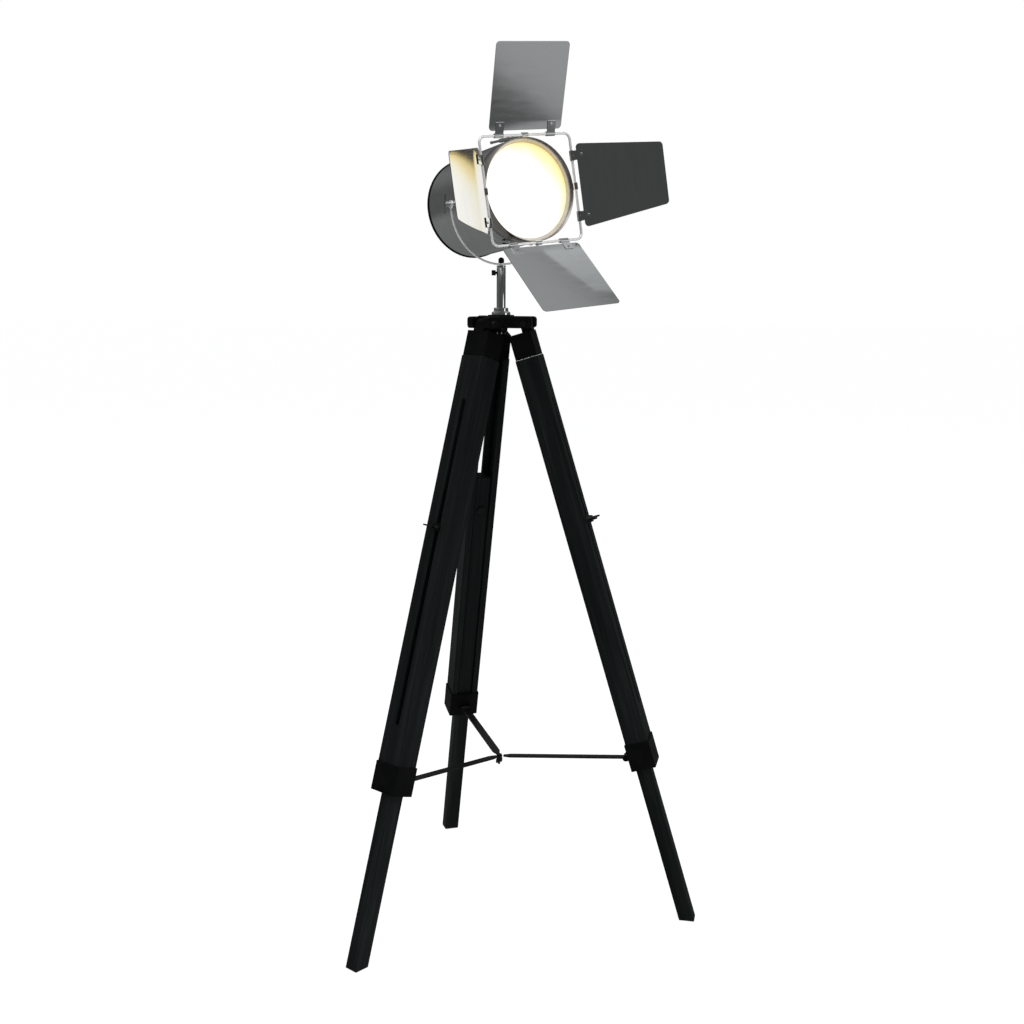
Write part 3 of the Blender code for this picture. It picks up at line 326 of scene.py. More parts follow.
def tube(points, radius, cyclic=False, sides=16):
    """A round rod swept along points, with flat ends where it is open."""
    bm = bmesh.new()
    rings = []
    count = len(points)
    up = Vector((0, 0, 1))
    for i, point in enumerate(points):
        ahead = points[(i + 1) % count] if cyclic or i < count - 1 else points[i]
        behind = points[i - 1] if cyclic or i > 0 else points[i]
        along = (Vector(ahead) - Vector(behind)).normalized()
        side = along.cross(up)
        if side.length < 0.1:
            side = along.cross(Vector((0, 1, 0)))
        side.normalize()
        over = side.cross(along)
        ring = []
        for k in range(sides):
            a = 2 * math.pi * k / sides
            ring.append(bm.verts.new(Vector(point) + radius * (math.cos(a) * side + math.sin(a) * over)))
        rings.append(ring)
    pairs = list(zip(rings, rings[1:])) + ([(rings[-1], rings[0])] if cyclic else [])
    for a, b in pairs:
        for k in range(sides):
            bm.faces.new((a[k], a[(k + 1) % sides], b[(k + 1) % sides], b[k]))
    if not cyclic:
        bm.faces.new(rings[0])
        bm.faces.new(rings[-1])
    bmesh.ops.recalc_face_normals(bm, faces=bm.faces)
    return bm


def arc(centre, radius, start, end, steps):
    angles = [math.radians(start + (end - start) * i / steps) for i in range(steps + 1)]
    return [(centre[0] + radius * math.cos(a), centre[1] + radius * math.sin(a)) for a in angles]


def rounded(corners, radius, steps=8):
    """A convex outline, anticlockwise, with each corner rounded."""
    out = []
    count = len(corners)
    for i, corner in enumerate(corners):
        here = Vector(corner)
        back = (Vector(corners[i - 1]) - here).normalized()
        on = (Vector(corners[(i + 1) % count]) - here).normalized()
        half = back.angle(on) / 2
        centre = here + (back + on).normalized() * radius / math.sin(half)
        first = here + back * radius / math.tan(half) - centre
        last = here + on * radius / math.tan(half) - centre
        for k in range(steps + 1):
            out.append(tuple(centre + Matrix.Rotation(first.angle(last) * k / steps, 2) @ first))
    return out


def mesh_from(bm, name="shape"):
    mesh = bpy.data.meshes.new(name)
    bm.to_mesh(mesh)
    bm.free()
    return mesh


def solid(base, add=(), cut=(), bevel=0.0, segments=2, sharp=32):
    """Shapes joined and cut, edges softened, as one finished mesh."""
    helpers = [bpy.data.objects.new("helper", mesh_from(shape)) for shape in (base, *add, *cut)]
    for helper in helpers:
        bpy.context.scene.collection.objects.link(helper)
    obj = helpers[0]
    for i, helper in enumerate(helpers[1:]):
        modifier = obj.modifiers.new("join", "BOOLEAN")
        modifier.operation = "UNION" if i < len(add) else "DIFFERENCE"
        modifier.object = helper
    if bevel:
        modifier = obj.modifiers.new("soften", "BEVEL")
        modifier.width = bevel
        modifier.segments = segments
        modifier.limit_method = "ANGLE"
        modifier.angle_limit = math.radians(40)
    bpy.context.view_layer.update()
    mesh = bpy.data.meshes.new_from_object(obj.evaluated_get(bpy.context.evaluated_depsgraph_get()))
    for helper in helpers:
        data = helper.data
        bpy.data.objects.remove(helper)
        bpy.data.meshes.remove(data)
    mesh.shade_smooth()
    mesh.set_sharp_from_angle(angle=math.radians(sharp))
    return levelled(mesh) if bevel else mesh


def levelled(mesh):
    """Weighs the shading by face area, so flat faces stay flat beside their softened edges."""
    helper = bpy.data.objects.new("helper", mesh)
    bpy.context.scene.collection.objects.link(helper)
    modifier = helper.modifiers.new("level", "WEIGHTED_NORMAL")
    modifier.weight = 100
    modifier.keep_sharp = True
    bpy.context.view_layer.update()
    result = bpy.data.meshes.new_from_object(helper.evaluated_get(bpy.context.evaluated_depsgraph_get()))
    bpy.data.objects.remove(helper)
    bpy.data.meshes.remove(mesh)
    return result


BODY = {node: body for body, nodes in frame["record"]["behaviour"]["bodies"].items() for node in nodes}
SLOT = {part["node"]: part["material_slot"] for part in frame["record"]["subparts"]}


def stand_in(mesh, node, matrix, look=None):
    """A finished mesh that takes the place of one CAD node."""
    obj = bpy.data.objects.new("look_" + node, mesh)
    bpy.context.scene.collection.objects.link(obj)
    obj.matrix_world = matrix
    mesh.materials.clear()
    mesh.materials.append(LOOKS[look or SLOT[node]])
    bpy.context.view_layer.update()
    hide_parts(node)
    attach(obj, BODY[node])
    return obj


ROOT = Matrix.Translation(AXIS)
SWIVEL = ROOT @ Matrix.Rotation(PAN, 4, "Z")
TILTED = SWIVEL @ Matrix.Translation((0, 0, TILT_HEIGHT)) @ Matrix.Rotation(-TILT, 4, "X")
DRUM = TILTED @ Matrix.Translation((0, 0, DRUM_RISE)) @ Matrix.Rotation(math.pi / 2, 4, "X")
BARN = DRUM @ Matrix.Translation((0, 0, FRAME_FORWARD)) @ Matrix.Rotation(FRAME_ROLL, 4, "Z")


# ---------------------------------------------------------------- tripod
def hub():
    """The hub casting: a forked arm for each leg around the bore that the stem stands in."""
    arms = []
    cuts = [rod(7.5 * MM, 0.96, 1.0, segments=48)]
    for azimuth in LEG_AZIMUTHS.values():
        turn = Matrix.Rotation(math.radians(azimuth), 4, "Z")
        arm = box((2 * MM, -23 * MM, 0.972), (54 * MM, 23 * MM, 0.990))
        rim = [e for e in arm.edges if all(v.co.x > 53 * MM for v in e.verts)
               and abs(e.verts[0].co.z - e.verts[1].co.z) < MM]
        bmesh.ops.bevel(arm, geom=rim, offset=5 * MM, segments=6, affect="EDGES", profile=0.5)
        arms.append(moved(arm, turn))
        cuts.append(moved(box((29 * MM, -10.8 * MM, 0.95), (0.1, 10.8 * MM, 1.0)), turn))
        cuts.append(moved(rod(BOLT_BORE, -0.04, 0.04, "Y", (HINGE_RADIUS, 0, HINGE_HEIGHT)), turn))
    mesh = solid(rod(21 * MM, 0.972, 0.992, segments=96), arms, cuts, bevel=1.1 * MM, segments=3)
    stand_in(mesh, "hub_casting", ROOT)


def leg(name, azimuth):
    """One leg in its hinge's frame: +X outward, +Y along the hinge bolt, -Z down the timber."""
    turn = math.radians(azimuth)
    hinge_at = (HINGE_RADIUS * math.cos(turn), HINGE_RADIUS * math.sin(turn), HINGE_HEIGHT)
    hinge = ROOT @ Matrix.Translation(hinge_at)
    upright = hinge @ Matrix.Rotation(turn, 4, "Z")
    at = upright @ Matrix.Rotation(-SPLAY, 4, "Y")

    bolt = solid(rod(3 * MM, -25 * MM, 25 * MM, "Y"),
                 [rod(6 * MM, 23.3 * MM, 26.5 * MM, "Y", tip=4 * MM),
                  rod(5.5 * MM, -27 * MM, -23.3 * MM, "Y", segments=6)],
                 [box((-1 * MM, 25.6 * MM, -5 * MM), (1 * MM, 28 * MM, 5 * MM))], bevel=0.3 * MM)
    stand_in(bolt, name + "_hinge_bolt", at)

    block = box((-28 * MM, -22.8 * MM, -52.7 * MM), (7.5 * MM, 22.8 * MM, -12.7 * MM))
    cap = solid(block, [box((-8.2 * MM, -10.3 * MM, -16 * MM), (8.2 * MM, 10.3 * MM, 0)),
                        rod(8.2 * MM, -10.3 * MM, 10.3 * MM, "Y", segments=48)],
                [rod(BOLT_BORE, -0.03, 0.03, "Y")], bevel=1.6 * MM, segments=3)
    stand_in(cap, name + "_cap", at)

    block = box((CHANNEL_INNER_X, -24 * MM, -741 * MM), (CHANNEL_OUTER_X, 24 * MM, -53 * MM))
    groove = box((-0.05, -13.5 * MM, -0.8), (-1 * MM, 13.5 * MM, 0))
    ends = rounded([(-4 * MM, -641 * MM), (4 * MM, -641 * MM), (4 * MM, -122 * MM), (-4 * MM, -122 * MM)],
                   3.9 * MM)
    through_face = Matrix(((0, 0, 1, 0), (1, 0, 0, 0), (0, 1, 0, 0), (0, 0, 0, 1)))
    slot = moved(prism(ends, -5 * MM, 15 * MM), through_face)
    stand_in(solid(block, (), [groove, slot], bevel=1.1 * MM, segments=3), name + "_channel", at)

    post = box((POST_INNER_X, -12.5 * MM, -1), (POST_OUTER_X, 12.5 * MM, -267.5 * MM))
    for vert in post.verts:
        if vert.co.z < -0.9:
            vert.co.z = -(HINGE_HEIGHT + vert.co.x * math.sin(SPLAY)) / math.cos(SPLAY)
    long_edges = [e for e in post.edges if abs(e.verts[0].co.z - e.verts[1].co.z) > 0.1]
    bmesh.ops.bevel(post, geom=long_edges, offset=1 * MM, segments=3, affect="EDGES", profile=0.5)
    hole = rod(BOLT_BORE, -0.05, 0.05, "X", (0, 0, -CLAMP_DROP))
    stand_in(solid(post, (), [hole]), name + "_post", at)

    clamp_at = at @ Matrix.Translation((0, 0, -CLAMP_DROP))
    bolt = solid(rod(3 * MM, -26.7 * MM, 23.5 * MM, "X"),
                 [rod(7 * MM, -28.7 * MM, -26 * MM, "X")], bevel=0.4 * MM)
    stand_in(bolt, name + "_clamp_bolt", clamp_at)
    ears = []
    for side in (1, -1):
        shape = rounded([(3, 3), (10, 7.5), (15, 13.5), (13.5, 19), (9, 17), (3, 9)], 1.3, 4)
        swap = Matrix(((0, MM, 0, 8.8 * MM), (side * MM, 0, 0, 0), (0, 0, MM, 0), (0, 0, 0, 1)))
        ears.append(moved(prism(shape, -1.2, 1.2), swap))
    nut = solid(rod(7 * MM, 8.8 * MM, 17.8 * MM, "X", tip=5 * MM, segments=40), ears,
                [rod(BOLT_BORE, 0, 0.05, "X")], bevel=0.5 * MM)
    stand_in(nut, name + "_wing_nut", clamp_at)

    collar = box((-31 * MM, -26 * MM, -746 * MM), (10.5 * MM, 26 * MM, -701 * MM))
    long_edges = [e for e in collar.edges if abs(e.verts[0].co.z - e.verts[1].co.z) > 0.01]
    bmesh.ops.bevel(collar, geom=long_edges, offset=1.8 * MM, segments=4, affect="EDGES", profile=0.5)
    inside = box((-29.3 * MM, -24.3 * MM, -741.3 * MM), (8.8 * MM, 24.3 * MM, 0))
    window = box((-26.1 * MM, -12.9 * MM, -0.8), (-1.3 * MM, 12.9 * MM, -0.71))
    ears = []
    for sign in (1, -1):
        near, far = sorted((sign * 6.9 * MM, sign * 8.9 * MM))
        ears.append(box((LUG[0], near, LUG[1] - 5 * MM), (-30.2 * MM, far, LUG[1] + 5 * MM)))
        ears.append(rod(5 * MM, near, far, "Y", (LUG[0], 0, LUG[1])))
    pin = rod(2 * MM, -9.6 * MM, 9.6 * MM, "Y", (LUG[0], 0, LUG[1]))
    stand_in(solid(collar, [*ears, pin], [inside, window], bevel=0.35 * MM), name + "_collar", at)
    strap(name, at)


def strap(name, at):
    """A spreader strap from its leg's collar; the front one also holds the centre screw and nut."""
    reach = HINGE_RADIUS + LUG[0] * math.cos(SPLAY) - LUG[1] * math.sin(SPLAY)
    height = HINGE_HEIGHT + LUG[0] * math.sin(SPLAY) + LUG[1] * math.cos(SPLAY)
    drop = math.atan2(height - SPREADER_HEIGHT, reach)
    middle = reach / math.cos(drop)
    frame_at = (at @ Matrix.Translation((LUG[0], 0, LUG[1])) @ Matrix.Rotation(SPLAY, 4, "Y")
                @ Matrix.Rotation(math.pi, 4, "Z") @ Matrix.Rotation(drop, 4, "Y"))
    end = middle - STRAP_EYE
    half = STRAP_HALF
    outline = [(3 * MM, -half), (end - STRAP_TAPER, -half), (end, -STRAP_TIP_HALF), (end, STRAP_TIP_HALF),
               (end - STRAP_TAPER, half), (3 * MM, half)]
    thick = 1.25 * MM
    add = [rod(4.3 * MM, -half, half, "Y")]
    cut = [rod(2.3 * MM, -0.02, 0.02, "Y")]
    if name == "front":
        add += [box((end - MM, -2 * MM, -thick), (middle, 2 * MM, thick)),
                rod(5 * MM, -thick, thick, at=(middle, 0, 0))]
        cut.append(rod(2.3 * MM, -0.01, 0.01, at=(middle, 0, 0)))
        screw = solid(rod(4 * MM, 1.55 * MM, 3.15 * MM, at=(middle, 0, 0)),
                      [rod(2 * MM, -14.4 * MM, 2.8 * MM, at=(middle, 0, 0))], bevel=0.3 * MM)
        stand_in(screw, "spreader_hub", frame_at)
        low = -7.55 * MM
        nut = solid(rod(4.6 * MM, low, -1.55 * MM, at=(middle, 0, 0)),
                    [box((middle - 7 * MM, -MM, low - 4 * MM), (middle + 7 * MM, MM, low + 3 * MM))],
                    [rod(2.3 * MM, -0.03, 0, at=(middle, 0, 0))], bevel=0.4 * MM)
        stand_in(nut, "spreader_nut", frame_at)
    stand_in(solid(prism(outline, -thick, thick), add, cut, bevel=0.35 * MM), name + "_strap", frame_at)


# ---------------------------------------------------------------- stem, yoke and screws
def stem():
    """The chrome tube on the hub, its flange and nut, and the knurled pan thumbscrew."""
    thumb = (0, 0, THUMB_HEIGHT)
    bore = rod(2.3 * MM, -0.02, 0, "X", thumb)
    tube_wall = [(7.2 * MM, 0.9625), (7.2 * MM, 1.0655), (6.9 * MM, 1.066), (6 * MM, 1.066), (6 * MM, 0.962),
                 (6.9 * MM, 0.962)]
    stand_in(solid(lathe(tube_wall), (), [bore]), "stem_tube", ROOT)
    low, high = 992.3 * MM, 1003.3 * MM
    flange = [(7.5 * MM, low), (14.6 * MM, low), (15 * MM, low + 0.4 * MM), (15 * MM, 995.6 * MM),
              (14.4 * MM, 996.4 * MM), (12.2 * MM, 997.4 * MM), (11.6 * MM, 998.2 * MM),
              (11.5 * MM, high - 0.8 * MM), (10.9 * MM, high), (7.5 * MM, high)]
    stand_in(solid(lathe(flange)), "stem_flange", ROOT)
    nut = solid(rod(12 * MM, 965 * MM, 971.7 * MM, segments=6), (), [rod(7.5 * MM, 0.9, 1.0)], bevel=0.6 * MM)
    stand_in(nut, "stem_nut", ROOT)
    grooves = []
    for i in range(KNURLS):
        ridge = box((-16 * MM, -0.25 * MM, 3.85 * MM), (-9.6 * MM, 0.25 * MM, 5 * MM))
        spun = Matrix.Rotation(math.radians(360 / KNURLS * i), 4, "X")
        grooves.append(moved(ridge, Matrix.Translation(thumb) @ spun))
    screw = solid(rod(2 * MM, -10.7 * MM, -6 * MM, "X", thumb),
                  [rod(4.2 * MM, -15.2 * MM, -8.7 * MM, "X", thumb, 48)], grooves, bevel=0.12 * MM)
    stand_in(screw, "pan_thumbscrew", ROOT)


def yoke():
    """The post that swivels in the stem, its cap nut, the wire bow and the two T-handled tilt screws."""
    seat = TILT_HEIGHT - YOKE_RADIUS - 2 * MM
    post = [(0, 1.030), (5.7 * MM, 1.030), (5.7 * MM, 1.0664), (7.2 * MM, 1.0664),
            (7.2 * MM, seat - 0.5 * MM), (6.8 * MM, seat), (2.3 * MM, seat), (2.3 * MM, seat - 12 * MM),
            (0, seat - 12 * MM)]
    stand_in(solid(lathe(post)), "swivel_post", SWIVEL)
    top = seat + 4 * MM
    nut = [(0, seat - 10 * MM), (2 * MM, seat - 10 * MM), (2 * MM, top), (4.3 * MM, top),
           (4.6 * MM, top + 0.4 * MM), (4.6 * MM, top + 5 * MM)]
    dome = [math.radians(15 * k) for k in range(1, 6)]
    nut += [(4.6 * MM * math.cos(a), top + 5 * MM + 4 * MM * math.sin(a)) for a in dome]
    nut.append((0, top + 9 * MM))
    stand_in(solid(lathe(nut, 48)), "yoke_cap_nut", SWIVEL)
    sweep = [math.radians(a) for a in range(180, 361, 2)]
    curve = [(YOKE_RADIUS * math.cos(a), 0, TILT_HEIGHT + YOKE_RADIUS * math.sin(a)) for a in sweep]
    bottom = TILT_HEIGHT - YOKE_RADIUS
    add = [rod(6 * MM, bottom - 1.7 * MM, bottom + 1.7 * MM)]
    cut = [rod(2.4 * MM, bottom - 0.01, bottom + 0.01)]
    for sign in (1, -1):
        side = sign * YOKE_RADIUS
        add.append(rod(6 * MM, side - 1.7 * MM, side + 1.7 * MM, "X", (0, 0, TILT_HEIGHT)))
        cut.append(rod(3 * MM, side - 0.01, side + 0.01, "X", (0, 0, TILT_HEIGHT)))
    stand_in(solid(tube(curve, 1.6 * MM), add, cut, bevel=0.3 * MM), "yoke", SWIVEL, "wire")
    for name, sign in (("left", -1), ("right", 1)):
        def span(a, b):
            return sorted((sign * a * MM, sign * b * MM))
        bar_at = (sign * 101 * MM, 0, 0)
        screw = solid(rod(2.6 * MM, *span(79, 101), "X"),
                      [rod(4 * MM, *span(92, 100), "X"), rod(2 * MM, -14 * MM, 14 * MM, at=bar_at),
                       rod(2.7 * MM, 11 * MM, 14.6 * MM, at=bar_at),
                       rod(2.7 * MM, -14.6 * MM, -11 * MM, at=bar_at)],
                      bevel=0.4 * MM, segments=3)
        stand_in(screw, name + "_tilt_screw", SWIVEL @ Matrix.Translation((0, 0, TILT_HEIGHT)))


# ---------------------------------------------------------------- drum
def drum():
    """The shell with its funnel and glass in front, and the vented cover and gland behind."""
    wall = DRUM_RADIUS - 1.2 * MM
    shell = [(DRUM_RADIUS, DRUM_REAR), (DRUM_RADIUS, DRUM_FRONT), (wall, DRUM_FRONT), (wall, DRUM_REAR)]
    add, cut = [], []
    for sign in (1, -1):
        ends = sorted((sign * 76.4 * MM, sign * 87.5 * MM))
        add.append(rod(6 * MM, *ends, "X", (0, -DRUM_RISE, 0)))
        cut.append(rod(2.9 * MM, *sorted((sign * 0.06, sign * 0.1)), "X", (0, -DRUM_RISE, 0)))
    stand_in(solid(lathe(shell, 144), add, cut, bevel=0.25 * MM), "drum_shell", DRUM, "drum_chrome")
    low = DRUM_FRONT + 0.3 * MM
    inner = DRUM_RADIUS - 1.5 * MM
    lip = BEZEL_FRONT - FUNNEL_DEPTH
    bezel = [(inner, low), (DRUM_RADIUS - 0.2 * MM, low), (DRUM_RADIUS, low + 0.3 * MM),
             (DRUM_RADIUS, BEZEL_FRONT - 0.8 * MM), (DRUM_RADIUS - 0.3 * MM, BEZEL_FRONT - 0.2 * MM),
             (DRUM_RADIUS - 0.9 * MM, BEZEL_FRONT), (DRUM_RADIUS - 1.4 * MM, BEZEL_FRONT - 0.3 * MM),
             (FUNNEL_RADIUS, lip), (FUNNEL_RADIUS, lip - 0.8 * MM),
             (inner, BEZEL_FRONT - 3 * MM - FUNNEL_DEPTH / 2)]
    stand_in(solid(lathe(bezel, 144), sharp=40), "front_bezel", DRUM, "bezel")
    glass = [(0, GLASS_FRONT + 1.5 * MM), (30 * MM, GLASS_FRONT + 1.3 * MM),
             (55 * MM, GLASS_FRONT + 0.7 * MM), (75.8 * MM, GLASS_FRONT),
             (76.2 * MM, GLASS_FRONT - 0.4 * MM), (76.2 * MM, GLASS_FRONT - 3 * MM),
             (38 * MM, GLASS_FRONT - 1.9 * MM), (0, GLASS_FRONT - 1.5 * MM)]
    stand_in(solid(lathe(glass, 96), sharp=50), "diffuser_glass", DRUM)
    floor = DRUM_REAR - 0.3 * MM
    cover = [(78.7 * MM, DRUM_REAR + 2 * MM), (79.2 * MM, DRUM_REAR + 2 * MM),
             (79.5 * MM, DRUM_REAR + 1.6 * MM), (79.5 * MM, COVER_REAR + 1 * MM),
             (78.5 * MM, COVER_REAR), (66 * MM, COVER_REAR),
             (65 * MM, COVER_REAR + 0.6 * MM), (64 * MM, COVER_REAR), (8 * MM, COVER_REAR), (8 * MM, floor),
             (78.7 * MM, floor)]
    outline = rounded([(30 * MM, -2.5 * MM), (58 * MM, -2.5 * MM), (58 * MM, 2.5 * MM), (30 * MM, 2.5 * MM)],
                      2.4 * MM)
    vents = []
    for i in range(VENTS):
        spun = Matrix.Rotation(math.radians(360 / VENTS * i + 30), 4, "Z")
        vents.append(moved(prism(outline, COVER_REAR - 0.01, floor + 0.01), spun))
    stand_in(solid(lathe(cover, 128), (), vents, bevel=0.2 * MM), "rear_cover", DRUM)
    back = COVER_REAR - 0.3 * MM
    gland = [(4 * MM, floor), (7.6 * MM, floor), (7.6 * MM, back), (11 * MM, back), (11 * MM, back - 3 * MM),
             (10 * MM, back - 3.7 * MM), (7 * MM, back - 4.7 * MM), (6.2 * MM, back - 12 * MM),
             (5.7 * MM, back - 12.7 * MM), (4 * MM, back - 12.7 * MM)]
    flats = [moved(box((9.8 * MM, -0.02, back - 3.9 * MM), (0.02, 0.02, back - 0.4 * MM)),
                   Matrix.Rotation(math.radians(60 * i), 4, "Z")) for i in range(6)]
    stand_in(solid(lathe(gland, 64), (), flats, bevel=0.2 * MM), "cord_gland", DRUM)


def pull_rod(seat):
    """The lever of the top clip: a rod, a sleeve and a rounded knob that rise away from the drum."""
    lean = Matrix.Translation((0, seat + LEVER_STANDOFF, LEVER_FRONT)) @ Matrix.Rotation(LEVER_LEAN, 4, "X")
    end = LEVER_END
    knob = [(0, end), (1.4 * MM, end + 0.3 * MM), (2.2 * MM, end + 1 * MM), (2.5 * MM, end + 2 * MM),
            (2.5 * MM, end + 3.4 * MM), (2.2 * MM, end + 4 * MM), (0, end + 4 * MM)]
    sleeve = [(0, -56 * MM), (2.7 * MM, -56 * MM), (3.2 * MM, -55.4 * MM), (3.2 * MM, -21.6 * MM),
              (2.7 * MM, -21 * MM), (0, -21 * MM)]
    pieces = (rod(2 * MM, end + 2 * MM, 0), lathe(sleeve, 40), lathe(knob, 40))
    return [moved(piece, lean) for piece in pieces]


def frame_and_clips():
    """The rod frame and the four spring clips that hold it on the drum, the top one with its lever."""
    straight = FRAME_HALF - 10 * MM
    points = []
    for i, (x, y) in enumerate(((1, 1), (-1, 1), (-1, -1), (1, -1))):
        points += arc((x * straight, y * straight), 10 * MM, 90 * i, 90 * i + 90, 12)
    rods = tube([(x, y, 0) for x, y in points], FRAME_ROD, True, 20)
    stand_in(solid(rods), "barn_frame", BARN, "wire")
    for i, name in enumerate(("top", "left", "bottom", "right")):
        side = BARN @ Matrix.Rotation(math.radians(90 * i), 4, "Z")
        seat = DRUM_RADIUS + 0.5 * MM
        back = DRUM_FRONT - FRAME_FORWARD + 4 * MM
        tab = box((-4.7 * MM, seat, back), (4.7 * MM, seat + 1.2 * MM, -2.9 * MM))
        lever = pull_rod(seat) if name == "top" else []
        barrel = rod(3.5 * MM, -5 * MM, 5 * MM, "X", (0, FRAME_HALF, 0))
        head = rod(2.6 * MM, seat + MM, seat + 2.8 * MM, "Y", (0, 0, back + 6 * MM))
        bore = rod(2.3 * MM, -0.02, 0.02, "X", (0, FRAME_HALF, 0))
        driver = box((-3 * MM, seat + 2.2 * MM, back + 5.6 * MM), (3 * MM, seat + 4 * MM, back + 6.4 * MM))
        clip = solid(tab, [barrel, head, *lever], [bore, driver], bevel=0.3 * MM)
        stand_in(clip, name + "_frame_clip", side)


def creased(sheet, line, slope):
    """Folds the strip beside the hinge slightly forward, leaving a straight fold line across a door."""
    geometry = sheet.verts[:] + sheet.edges[:] + sheet.faces[:]
    bmesh.ops.bisect_plane(sheet, geom=geometry, dist=0.000001, plane_co=(0, line, 0), plane_no=(0, 1, 0))
    for vert in sheet.verts:
        vert.co.z += max(0.0, line - vert.co.y) * slope


def bowed(sheet, radius, start, end):
    """Bends a door into a shallow dish beyond its clips, keeping its far edge where it was."""
    for k in range(1, 16):
        line = (0, start + (end - start) * k / 16 - 0.5 * MM, 0)
        geometry = sheet.verts[:] + sheet.edges[:] + sheet.faces[:]
        bmesh.ops.bisect_plane(sheet, geom=geometry, dist=0.000001, plane_co=line, plane_no=(0, 1, 0))
    reach = end - start
    for vert in sheet.verts:
        along = max(0.0, vert.co.y - start)
        vert.co.z -= along * (reach - along) / (2 * radius)


def door(name, turn, opening, hinge_width, tip_width, length):
    """A polished door in its hinge's frame, +Y out along it and +Z its front face, with two clips."""
    at = (BARN @ Matrix.Rotation(-math.radians(turn), 4, "Z") @ Matrix.Translation((0, FRAME_HALF, 0))
          @ Matrix.Rotation(math.radians(opening), 4, "X"))
    near, far = DOOR_GAP, DOOR_GAP + length * MM
    half, tip = hinge_width * MM / 2, tip_width * MM / 2
    outline = rounded([(-half, near), (half, near), (tip, far), (-tip, far)], 6 * MM)
    sheet = prism(outline, -0.5 * MM, 0.5 * MM)
    if name in CREASED:
        creased(sheet, CREASE_AT, CREASE_SLOPE)
    if name in BOW:
        bowed(sheet, BOW[name], 22 * MM, far)
    stand_in(solid(sheet, bevel=0.25 * MM, sharp=25), name + "_door", at)
    for label, sign in (("a", -1), ("b", 1)):
        x = sign * CLIP_OFFSET
        low, high = x - 7.5 * MM, x + 7.5 * MM
        tab_z = 0.8 * MM
        tab = box((low + 0.3 * MM, 2.9 * MM, tab_z), (high - 0.3 * MM, 20 * MM, tab_z + 1 * MM))
        dome = rod(2.6 * MM, tab_z + 0.5 * MM, tab_z + 2.6 * MM, at=(x, 15 * MM, 0), tip=1.6 * MM)
        cross = [box((x - 2 * MM, 14.65 * MM, tab_z + 2 * MM), (x + 2 * MM, 15.35 * MM, 5 * MM)),
                 box((x - 0.35 * MM, 13 * MM, tab_z + 2 * MM), (x + 0.35 * MM, 17 * MM, 5 * MM))]
        clip = solid(tab, [rod(3.5 * MM, low, high, "X"), dome],
                     [rod(2.3 * MM, low - 0.01, high + 0.01, "X"), *cross], bevel=0.22 * MM)
        stand_in(clip, name + "_door_clip_" + label, at, "polished_door")


hub()
for leg_name, leg_azimuth in LEG_AZIMUTHS.items():
    leg(leg_name, leg_azimuth)
stem()
yoke()
drum()
frame_and_clips()
for door_name, door_sizes in DOORS.items():
    door(door_name, *door_sizes)
for node in ("lamp_holder", "bulb"):
    inner = frame["nodes"][node]
    inner.data.materials.clear()
    inner.data.materials.append(LOOKS[SLOT[node]])


# ---------------------------------------------------------------- floor, light and camera
def flat(name, low, high, look, matrix=None):
    mesh = mesh_from(box(low, high), name)
    obj = bpy.data.objects.new(name, mesh)
    bpy.context.scene.collection.objects.link(obj)
    obj.matrix_world = matrix or Matrix()
    mesh.materials.append(look)
    obj.visible_glossy = False
    return obj


def plain(name, colour, roughness, glow):
    look = Look(name)
    look.shader.inputs["Base Color"].default_value = (*colour, 1.0)
    look.shader.inputs["Emission Color"].default_value = (1, 1, 1, 1)
    look.shader.inputs["Emission Strength"].default_value = glow
    look.constants(Roughness=roughness)
    return look.material


def area(name, size, energy, location, target, colour=(1, 1, 1)):
    light = bpy.data.lights.new(name, "AREA")
    light.shape = "RECTANGLE"
    light.size, light.size_y = size
    light.energy = energy
    light.color = colour
    obj = bpy.data.objects.new(name, light)
    bpy.context.scene.collection.objects.link(obj)
    obj.location = location
    obj.rotation_euler = (Vector(target) - Vector(location)).to_track_quat("-Z", "Y").to_euler()
    obj.visible_glossy = False
    return obj


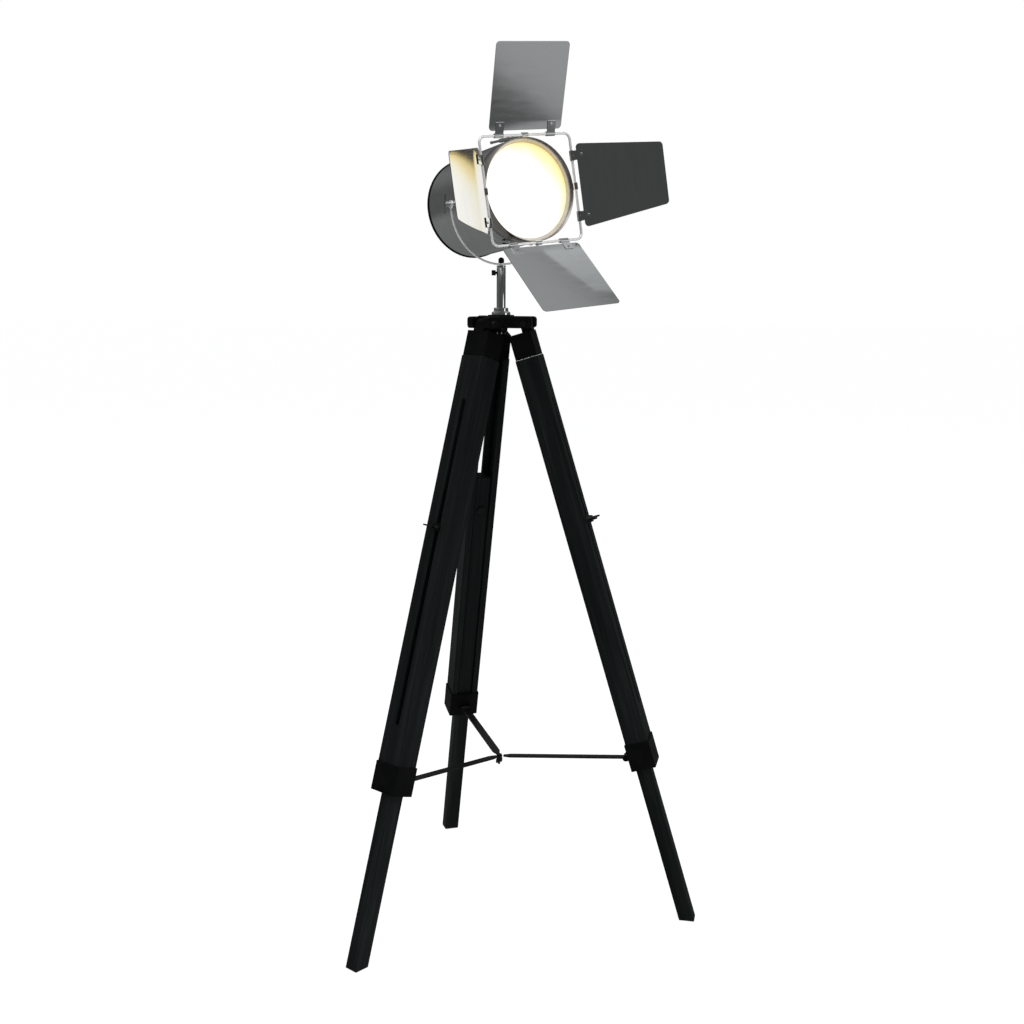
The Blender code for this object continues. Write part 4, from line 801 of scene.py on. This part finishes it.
class Sky:
    """The grey room that the plating reflects, as a brightness for every direction."""

    def __init__(self, tree):
        self.tree = tree
        coord = tree.nodes.new("ShaderNodeTexCoord")
        self.direction = coord.outputs["Generated"]

    def math(self, operation, a, b):
        node = self.tree.nodes.new("ShaderNodeMath")
        node.operation = operation
        for socket, value in zip(node.inputs, (a, b)):
            if isinstance(value, (int, float)):
                socket.default_value = value
            else:
                self.tree.links.new(value, socket)
        return node.outputs[0]

    def along(self, axis):
        node = self.tree.nodes.new("ShaderNodeVectorMath")
        node.operation = "DOT_PRODUCT"
        node.inputs[1].default_value = Vector(axis).normalized()
        self.tree.links.new(self.direction, node.inputs[0])
        return node.outputs["Value"]

    def step(self, axis, start, end, low=0.0, high=1.0):
        """Goes smoothly from low to high as the direction leans towards axis."""
        node = self.tree.nodes.new("ShaderNodeMapRange")
        node.interpolation_type = "SMOOTHSTEP"
        for name, value in (("From Min", start), ("From Max", end), ("To Min", low), ("To Max", high)):
            node.inputs[name].default_value = value
        self.tree.links.new(self.along(axis), node.inputs["Value"])
        return node.outputs["Result"]

    def build(self):
        floor = self.math("ADD", self.step((0, 0, -1), 0.08, 0.30, 0.0, 0.10),
                          self.step((0.85, -0.34, -0.40), 0.90, 0.975, 0.0, 0.27))
        ceiling = self.step((0, 0, 1), 0.20, 0.85, 0.0, 0.34)
        left = self.step((-1, 0.3, 0.1), 0.2, 0.9, 0.0, 0.04)
        total = self.math("ADD", self.math("ADD", floor, ceiling), self.math("ADD", left, 0.075))
        window = self.math("ADD", self.step((0.87, -0.46, -0.10), 0.974, 0.988, 0.0, 1.3),
                           self.step((-0.1, -0.6, 0.8), 0.86, 0.95, 0.0, 1.2))
        total = self.math("ADD", total, window)
        # a dark doorway low on the right, and a panel that is darker across half the ceiling
        low_right = self.math("MULTIPLY", self.step((-0.4347, -0.0938, -0.8957), -0.001, 0.003),
                              self.step((0.85, -0.34, -0.40), 0.96, 0.985, 0.0, 0.76))
        total = self.math("MULTIPLY", total, self.math("SUBTRACT", 1.0, low_right))
        panel = self.math("MULTIPLY", self.step((0.2331, 0.8826, -0.4083), -0.001, 0.003),
                          self.step((0.38, 0.28, 0.88), 0.96, 0.99, 0.0, 0.42))
        return self.math("MULTIPLY", total, self.math("SUBTRACT", 1.0, panel))


def world():
    """White behind the lamp, and a grey room round it for the plating to reflect."""
    made = bpy.data.worlds.new("studio")
    bpy.context.scene.world = made
    made.use_nodes = True
    tree = made.node_tree
    tree.nodes.clear()
    out = tree.nodes.new("ShaderNodeOutputWorld")
    mix = tree.nodes.new("ShaderNodeMixShader")
    path = tree.nodes.new("ShaderNodeLightPath")
    seen = tree.nodes.new("ShaderNodeBackground")
    seen.inputs["Color"].default_value = (1, 1, 1, 1)
    room = tree.nodes.new("ShaderNodeBackground")
    room.inputs["Color"].default_value = (0.98, 1.0, 1.0, 1)
    tree.links.new(Sky(tree).build(), room.inputs["Strength"])
    tree.links.new(path.outputs["Is Camera Ray"], mix.inputs["Fac"])
    tree.links.new(room.outputs[0], mix.inputs[1])
    tree.links.new(seen.outputs[0], mix.inputs[2])
    tree.links.new(mix.outputs[0], out.inputs["Surface"])


world()
flat("floor", (-30, -30, -0.02), (30, 30, -0.0005), plain("pale_floor", (0.16, 0.16, 0.16), 0.9, 0.90))
area("softbox", (2.4, 1.8), 60, (2.4, -1.6, 2.8), (0, 0, 0.8))
area("fill", (2.0, 2.0), 14, (-2.6, -1.2, 2.2), (0, 0, 0.8))
area("overhead", (3.0, 3.0), 60, (0, 0.5, 3.6), (0, 0, 0))

camera_data = bpy.data.cameras.new("camera")
camera = bpy.data.objects.new("camera", camera_data)
bpy.context.scene.collection.objects.link(camera)
camera_data.sensor_width = 36
camera_data.lens = 36 * 1347.6 / 1024
camera_at = AXIS + Vector((0.0090, -2.1684, 1.0522))
facing = Vector((0.00459, 0.98508, -0.17206))
CAMERA_ROLL = math.radians(0.30)
camera.matrix_world = (Matrix.Translation(camera_at) @ facing.to_track_quat("-Z", "Y").to_matrix().to_4x4()
                       @ Matrix.Rotation(CAMERA_ROLL, 4, "Z"))
bpy.context.scene.camera = camera
bpy.context.scene.view_settings.view_transform = "Standard"

bpy.context.view_layer.update()
